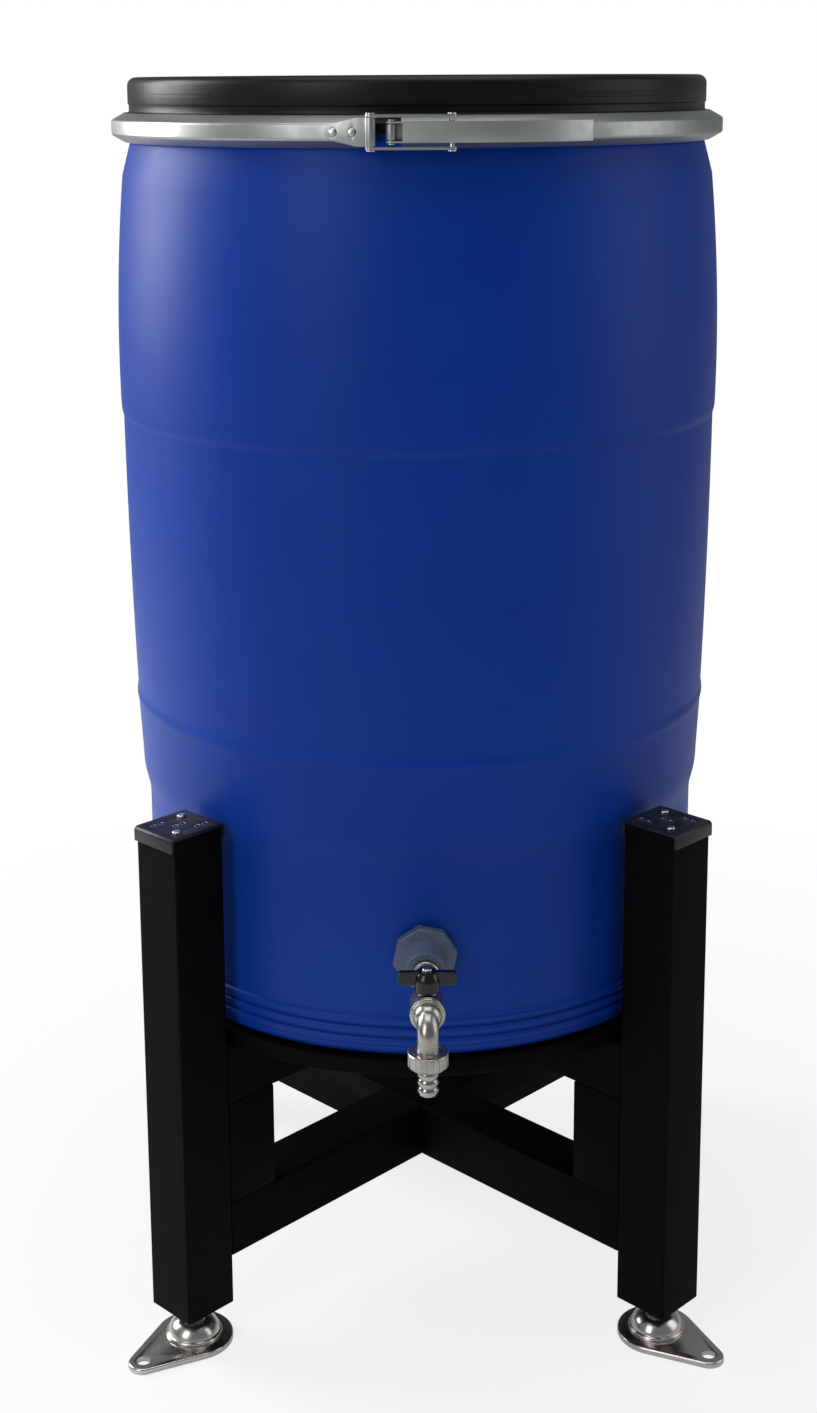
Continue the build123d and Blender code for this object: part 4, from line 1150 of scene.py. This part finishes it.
@dataclass
class Tap:
    """The ball tap with its handle, spout, union nut and hose tail."""

    axis_height: float = 435.0
    chamber: float = 398.0
    spout_start: float = 415.2
    casting: float = 0.6
    nut: float = 0.4
    fine: float = 0.3
    faces: int = 64

    def shoulder(self) -> Piece:
        """Spin the domed shoulder from which the spout's tube grows.

        Returns:
            The dome.
        """
        outline = Outline((14.2, -1.0), (14.2, 0.0)).arc((13.9, 0.9), (13.1, 1.3), 4)
        outline.line((12.6, 1.3)).arc((9.4, 8.6), (4.8, 11.4), 14)
        centre = (0, -self.spout_start, self.axis_height)
        return Bench.lathe("shoulder", outline, self.faces, centre=centre, axis=(0, -1, 0))

    def skirt(self) -> Piece:
        """Spin the wide skirt under the handle's hub.

        Returns:
            The skirt.
        """
        outline = Outline((8.75, 451.4), (9.8, 450.75)).arc((11.1, 451.3), (11.5, 452.8), 5)
        outline.line((11.5, 460.5)).curve((11.5, 463.5), (10.2, 466.5), (8.75, 468.5), 8)
        return Bench.lathe("skirt", outline, self.faces, centre=(0, -self.chamber, 0), closed=True)

    def make(self) -> None:
        """Round the castings and dress every piece."""
        turner = Body.TAP.value
        Part("tap_body", "tap_body_cast", Finish.TAP, self.casting).make()
        Part("tap_spout", "tap_spout_cast", Finish.TAP, self.casting).make(self.shoulder())
        Part("union_nut", "union_nut_cast", Finish.TAP, self.nut).make()
        Part("hose_tail", "hose_tail_cast", Finish.TAP_BRIGHT, self.fine).make()
        Part("packing_nut", "packing_nut_cast", Finish.TAP_BRIGHT, self.nut).make()
        handle = Part("tap_handle", "tap_handle_formed", Finish.HANDLE, self.casting, turner)
        handle.make(self.skirt())
        Part("handle_screw", "handle_screw_formed", Finish.RIVET, self.fine, turner).make()
        refinish("tap_ball", Finish.BALL)
        refinish("tap_spindle", Finish.TAP_BRIGHT)
        refinish("ball_seats", Finish.SEAT)


@dataclass
class Stand:
    """The posts, caps, beams, inner uprights and base board."""

    post_softness: float = 0.8
    cap_softness: float = 0.6
    screw_softness: float = 0.3
    section: float = 58.0
    upright_reach: float = 270.8
    upright_foot: float = 148.2
    upright_top: float = 253.8
    post_circle: float = 329.0
    cap_top: float = 545.0
    hole: float = 2.25
    hole_rim: float = 3.2
    hole_spacing: float = 21.0
    hole_reach: float = 4.5

    def hole_rims(self, corner: Corner) -> None:
        """Lay a bare-metal rim round each open hole of a cap.

        Args:
            corner: The cap's post.
        """
        outline = Outline((self.hole, -0.6), (self.hole, 0.02), (2.45, 0.16))
        outline.line((2.9, 0.16), (self.hole_rim, 0.02), (self.hole_rim, -0.1))
        rims = []
        for step in (-self.hole_spacing, 0.0, self.hole_spacing):
            for side in (-self.hole_reach, self.hole_reach):
                place = corner.outward * (self.post_circle + side)
                centre = place + Vector((step, 0, self.cap_top))
                rims.append(Bench.lathe("rim", outline, 20, centre=centre, closed=True))
        rim = Bench.joined(f"{corner.node}_cap_hole_rims", rims)
        dress(rim, Finish.RIVET)

    def upright(self, corner: Corner) -> None:
        """Stand a short bar on the lower beam, against the post, under the upper beam.

        Args:
            corner: The post that it stands against.
        """
        height = self.upright_top - self.upright_foot
        place = corner.outward * self.upright_reach + Vector((0, 0, self.upright_foot + height / 2))
        Bench.clear()
        bpy.ops.mesh.primitive_cube_add(
            size=1,
            location=place * MM,
            rotation=(0, 0, math.radians(corner.value)),
            scale=(self.section * MM, self.section * MM, height * MM),
        )
        bar = bpy.context.object
        bar.name = bar.data.name = f"{corner.node}_upright"
        bpy.ops.object.transform_apply(location=True, rotation=True, scale=True)
        dress(Bench.softened(bar, self.post_softness), Finish.POST)

    def make(self) -> None:
        """Round the posts, beams, board and caps, and dress them."""
        for corner in Corner:
            post, cap = f"{corner.node}_post", f"{corner.node}_cap"
            Part(post, f"{post}_bar", Finish.POST, self.post_softness).make()
            Part(cap, f"{cap}_strip", Finish.CAP, self.cap_softness).make()
            self.hole_rims(corner)
            self.upright(corner)
        for cross in ("lower", "upper"):
            for run in ("long", "cross"):
                beam = f"{cross}_beam_{run}"
                Part(beam, f"{beam}_bar", Finish.BEAM, self.post_softness).make()
        Part("base_board", "base_board_disc", Finish.BOARD, self.post_softness).make()
        refinish("board_screws", Finish.RIVET)
        Part("cap_screws", "cap_screws_driven", Finish.RIVET, self.screw_softness).make()


@dataclass
class Feet:
    """The four feet: inserts, studs, lock nuts and lug plates."""

    softness: float = 0.4

    def make(self) -> None:
        """Round the plates and dress every foot."""
        refinish("foot_inserts", Finish.FOOT)
        for corner in Corner:
            foot, body = f"{corner.node}_foot", f"{corner.body} plate"
            Part(f"{foot}_plate", f"{foot}_pressing", Finish.FOOT, self.softness, body).make()
            refinish(f"{foot}_stud", Finish.FOOT)
            refinish(f"{corner.node}_lock_nut", Finish.FOOT)


# Studio. Its sizes are metres.


@dataclass(frozen=True)
class Softbox:
    """A rectangular soft light that faces the tank's axis; its power is in watts."""

    name: str
    place: Triple
    aim_height: float
    size: Point
    power: float

    def hang(self) -> None:
        """Hang the light."""
        data = bpy.data.lights.new(self.name, "AREA")
        data.shape = "RECTANGLE"
        data.size, data.size_y = self.size
        data.energy = self.power
        light = bpy.data.objects.new(self.name, data)
        light.location = self.place
        ahead = Vector((0, 0, self.aim_height)) - Vector(self.place)
        light.rotation_euler = ahead.to_track_quat("-Z", "Y").to_euler()
        bpy.context.scene.collection.objects.link(light)


@dataclass
class Studio:
    """The floor, the lights, the background and the camera."""

    eye: Triple = (-0.029319, -2.050766, 1.235292)
    turned: Triple = (78.384447, 0.309648, -0.593025)
    lens: float = 51.31
    sensor: float = 36.0
    shift: float = -0.14811
    floor_radius: float = 30.0
    floor_colour: Colour = (0.92, 0.92, 0.92)
    fade_start: float = 0.35
    fade_run: float = 1.0
    fade_least: float = 0.8
    floor_mirrored: float = 0.18
    surround: Colour = (0.1, 0.105, 0.115)
    surround_mirrored: float = 0.1
    lights: tuple[Softbox, ...] = (
        Softbox("side window", (-2.6, 0.9, 1.8), 0.9, (1.4, 2.0), 84.0),
        Softbox("front window", (-1.9, -2.5, 1.9), 0.7, (1.2, 2.2), 27.0),
        Softbox("right fill", (2.7, -0.4, 1.5), 0.8, (1.7, 2.4), 15.0),
        Softbox("top", (0.0, -0.4, 3.2), 1.0, (2.4, 2.0), 30.0),
    )

    def camera(self) -> None:
        """Place the camera where the photograph was taken."""
        data = bpy.data.cameras.new("camera")
        data.sensor_fit = "VERTICAL"
        data.sensor_height = self.sensor
        data.lens = self.lens
        data.shift_y = self.shift
        camera = bpy.data.objects.new("camera", data)
        camera.location = self.eye
        camera.rotation_euler = Euler([math.radians(angle) for angle in self.turned])
        bpy.context.scene.collection.objects.link(camera)
        bpy.context.scene.camera = camera

    def floor(self) -> None:
        """Lay a pale floor that fades into the white background."""
        Bench.clear()
        bpy.ops.mesh.primitive_circle_add(
            vertices=96, radius=self.floor_radius, fill_type="NGON", location=(0, 0, 0)
        )
        floor = bpy.context.object
        floor.name = "floor"
        shade = Shade("floor")
        run = (shade.reach() - self.fade_start) / self.fade_run
        far = shade.ramp(run, (0.0, self.fade_least), (1.0, 1.0))
        shade.finish(self.floor_colour, 0.7, Specular_IOR_Level=0.1)
        plain = Sock(shade, shade.shader.outputs[0])
        white = shade.node("ShaderNodeEmission", {}, {"Strength": 1.0})
        share = far * shade.background_seen(self.floor_mirrored)
        mixed = shade.node("ShaderNodeMixShader", {}, {0: share, 1: plain, 2: white})
        shade.tree.links.new(mixed.out, shade.surface.inputs["Surface"])
        floor.data.materials.append(shade.material)

    def world(self) -> None:
        """Set a soft grey surround that the camera and the metals see as white."""
        world = bpy.data.worlds.new("surround")
        bpy.context.scene.world = world
        world.use_nodes = True
        nodes = Nodes(world.node_tree)
        soft = nodes.node("ShaderNodeBackground", {}, {"Color": (*self.surround, 1.0)})
        white = nodes.node("ShaderNodeBackground", {}, {"Color": (1.0, 1.0, 1.0, 1.0)})
        share = nodes.background_seen(self.surround_mirrored)
        mixed = nodes.node("ShaderNodeMixShader", {}, {0: share, 1: soft, 2: white})
        out = nodes.tree.nodes.new("ShaderNodeOutputWorld")
        nodes.tree.links.new(mixed.out, out.inputs["Surface"])

    def make(self) -> None:
        """Set the whole studio."""
        self.camera()
        self.floor()
        self.world()
        for light in self.lights:
            light.hang()
        bpy.context.scene.view_settings.view_transform = "Standard"


def main() -> None:
    """Build and dress the tank, piece by piece."""
    logging.basicConfig(level=logging.INFO, format="%(message)s")
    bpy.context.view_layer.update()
    for part in (Studio(), Drum(), Lid(), Ring(), Closure(), Connector(), Tap(), Stand(), Feet()):
        part.make()


if __name__ == "__main__":
    main()
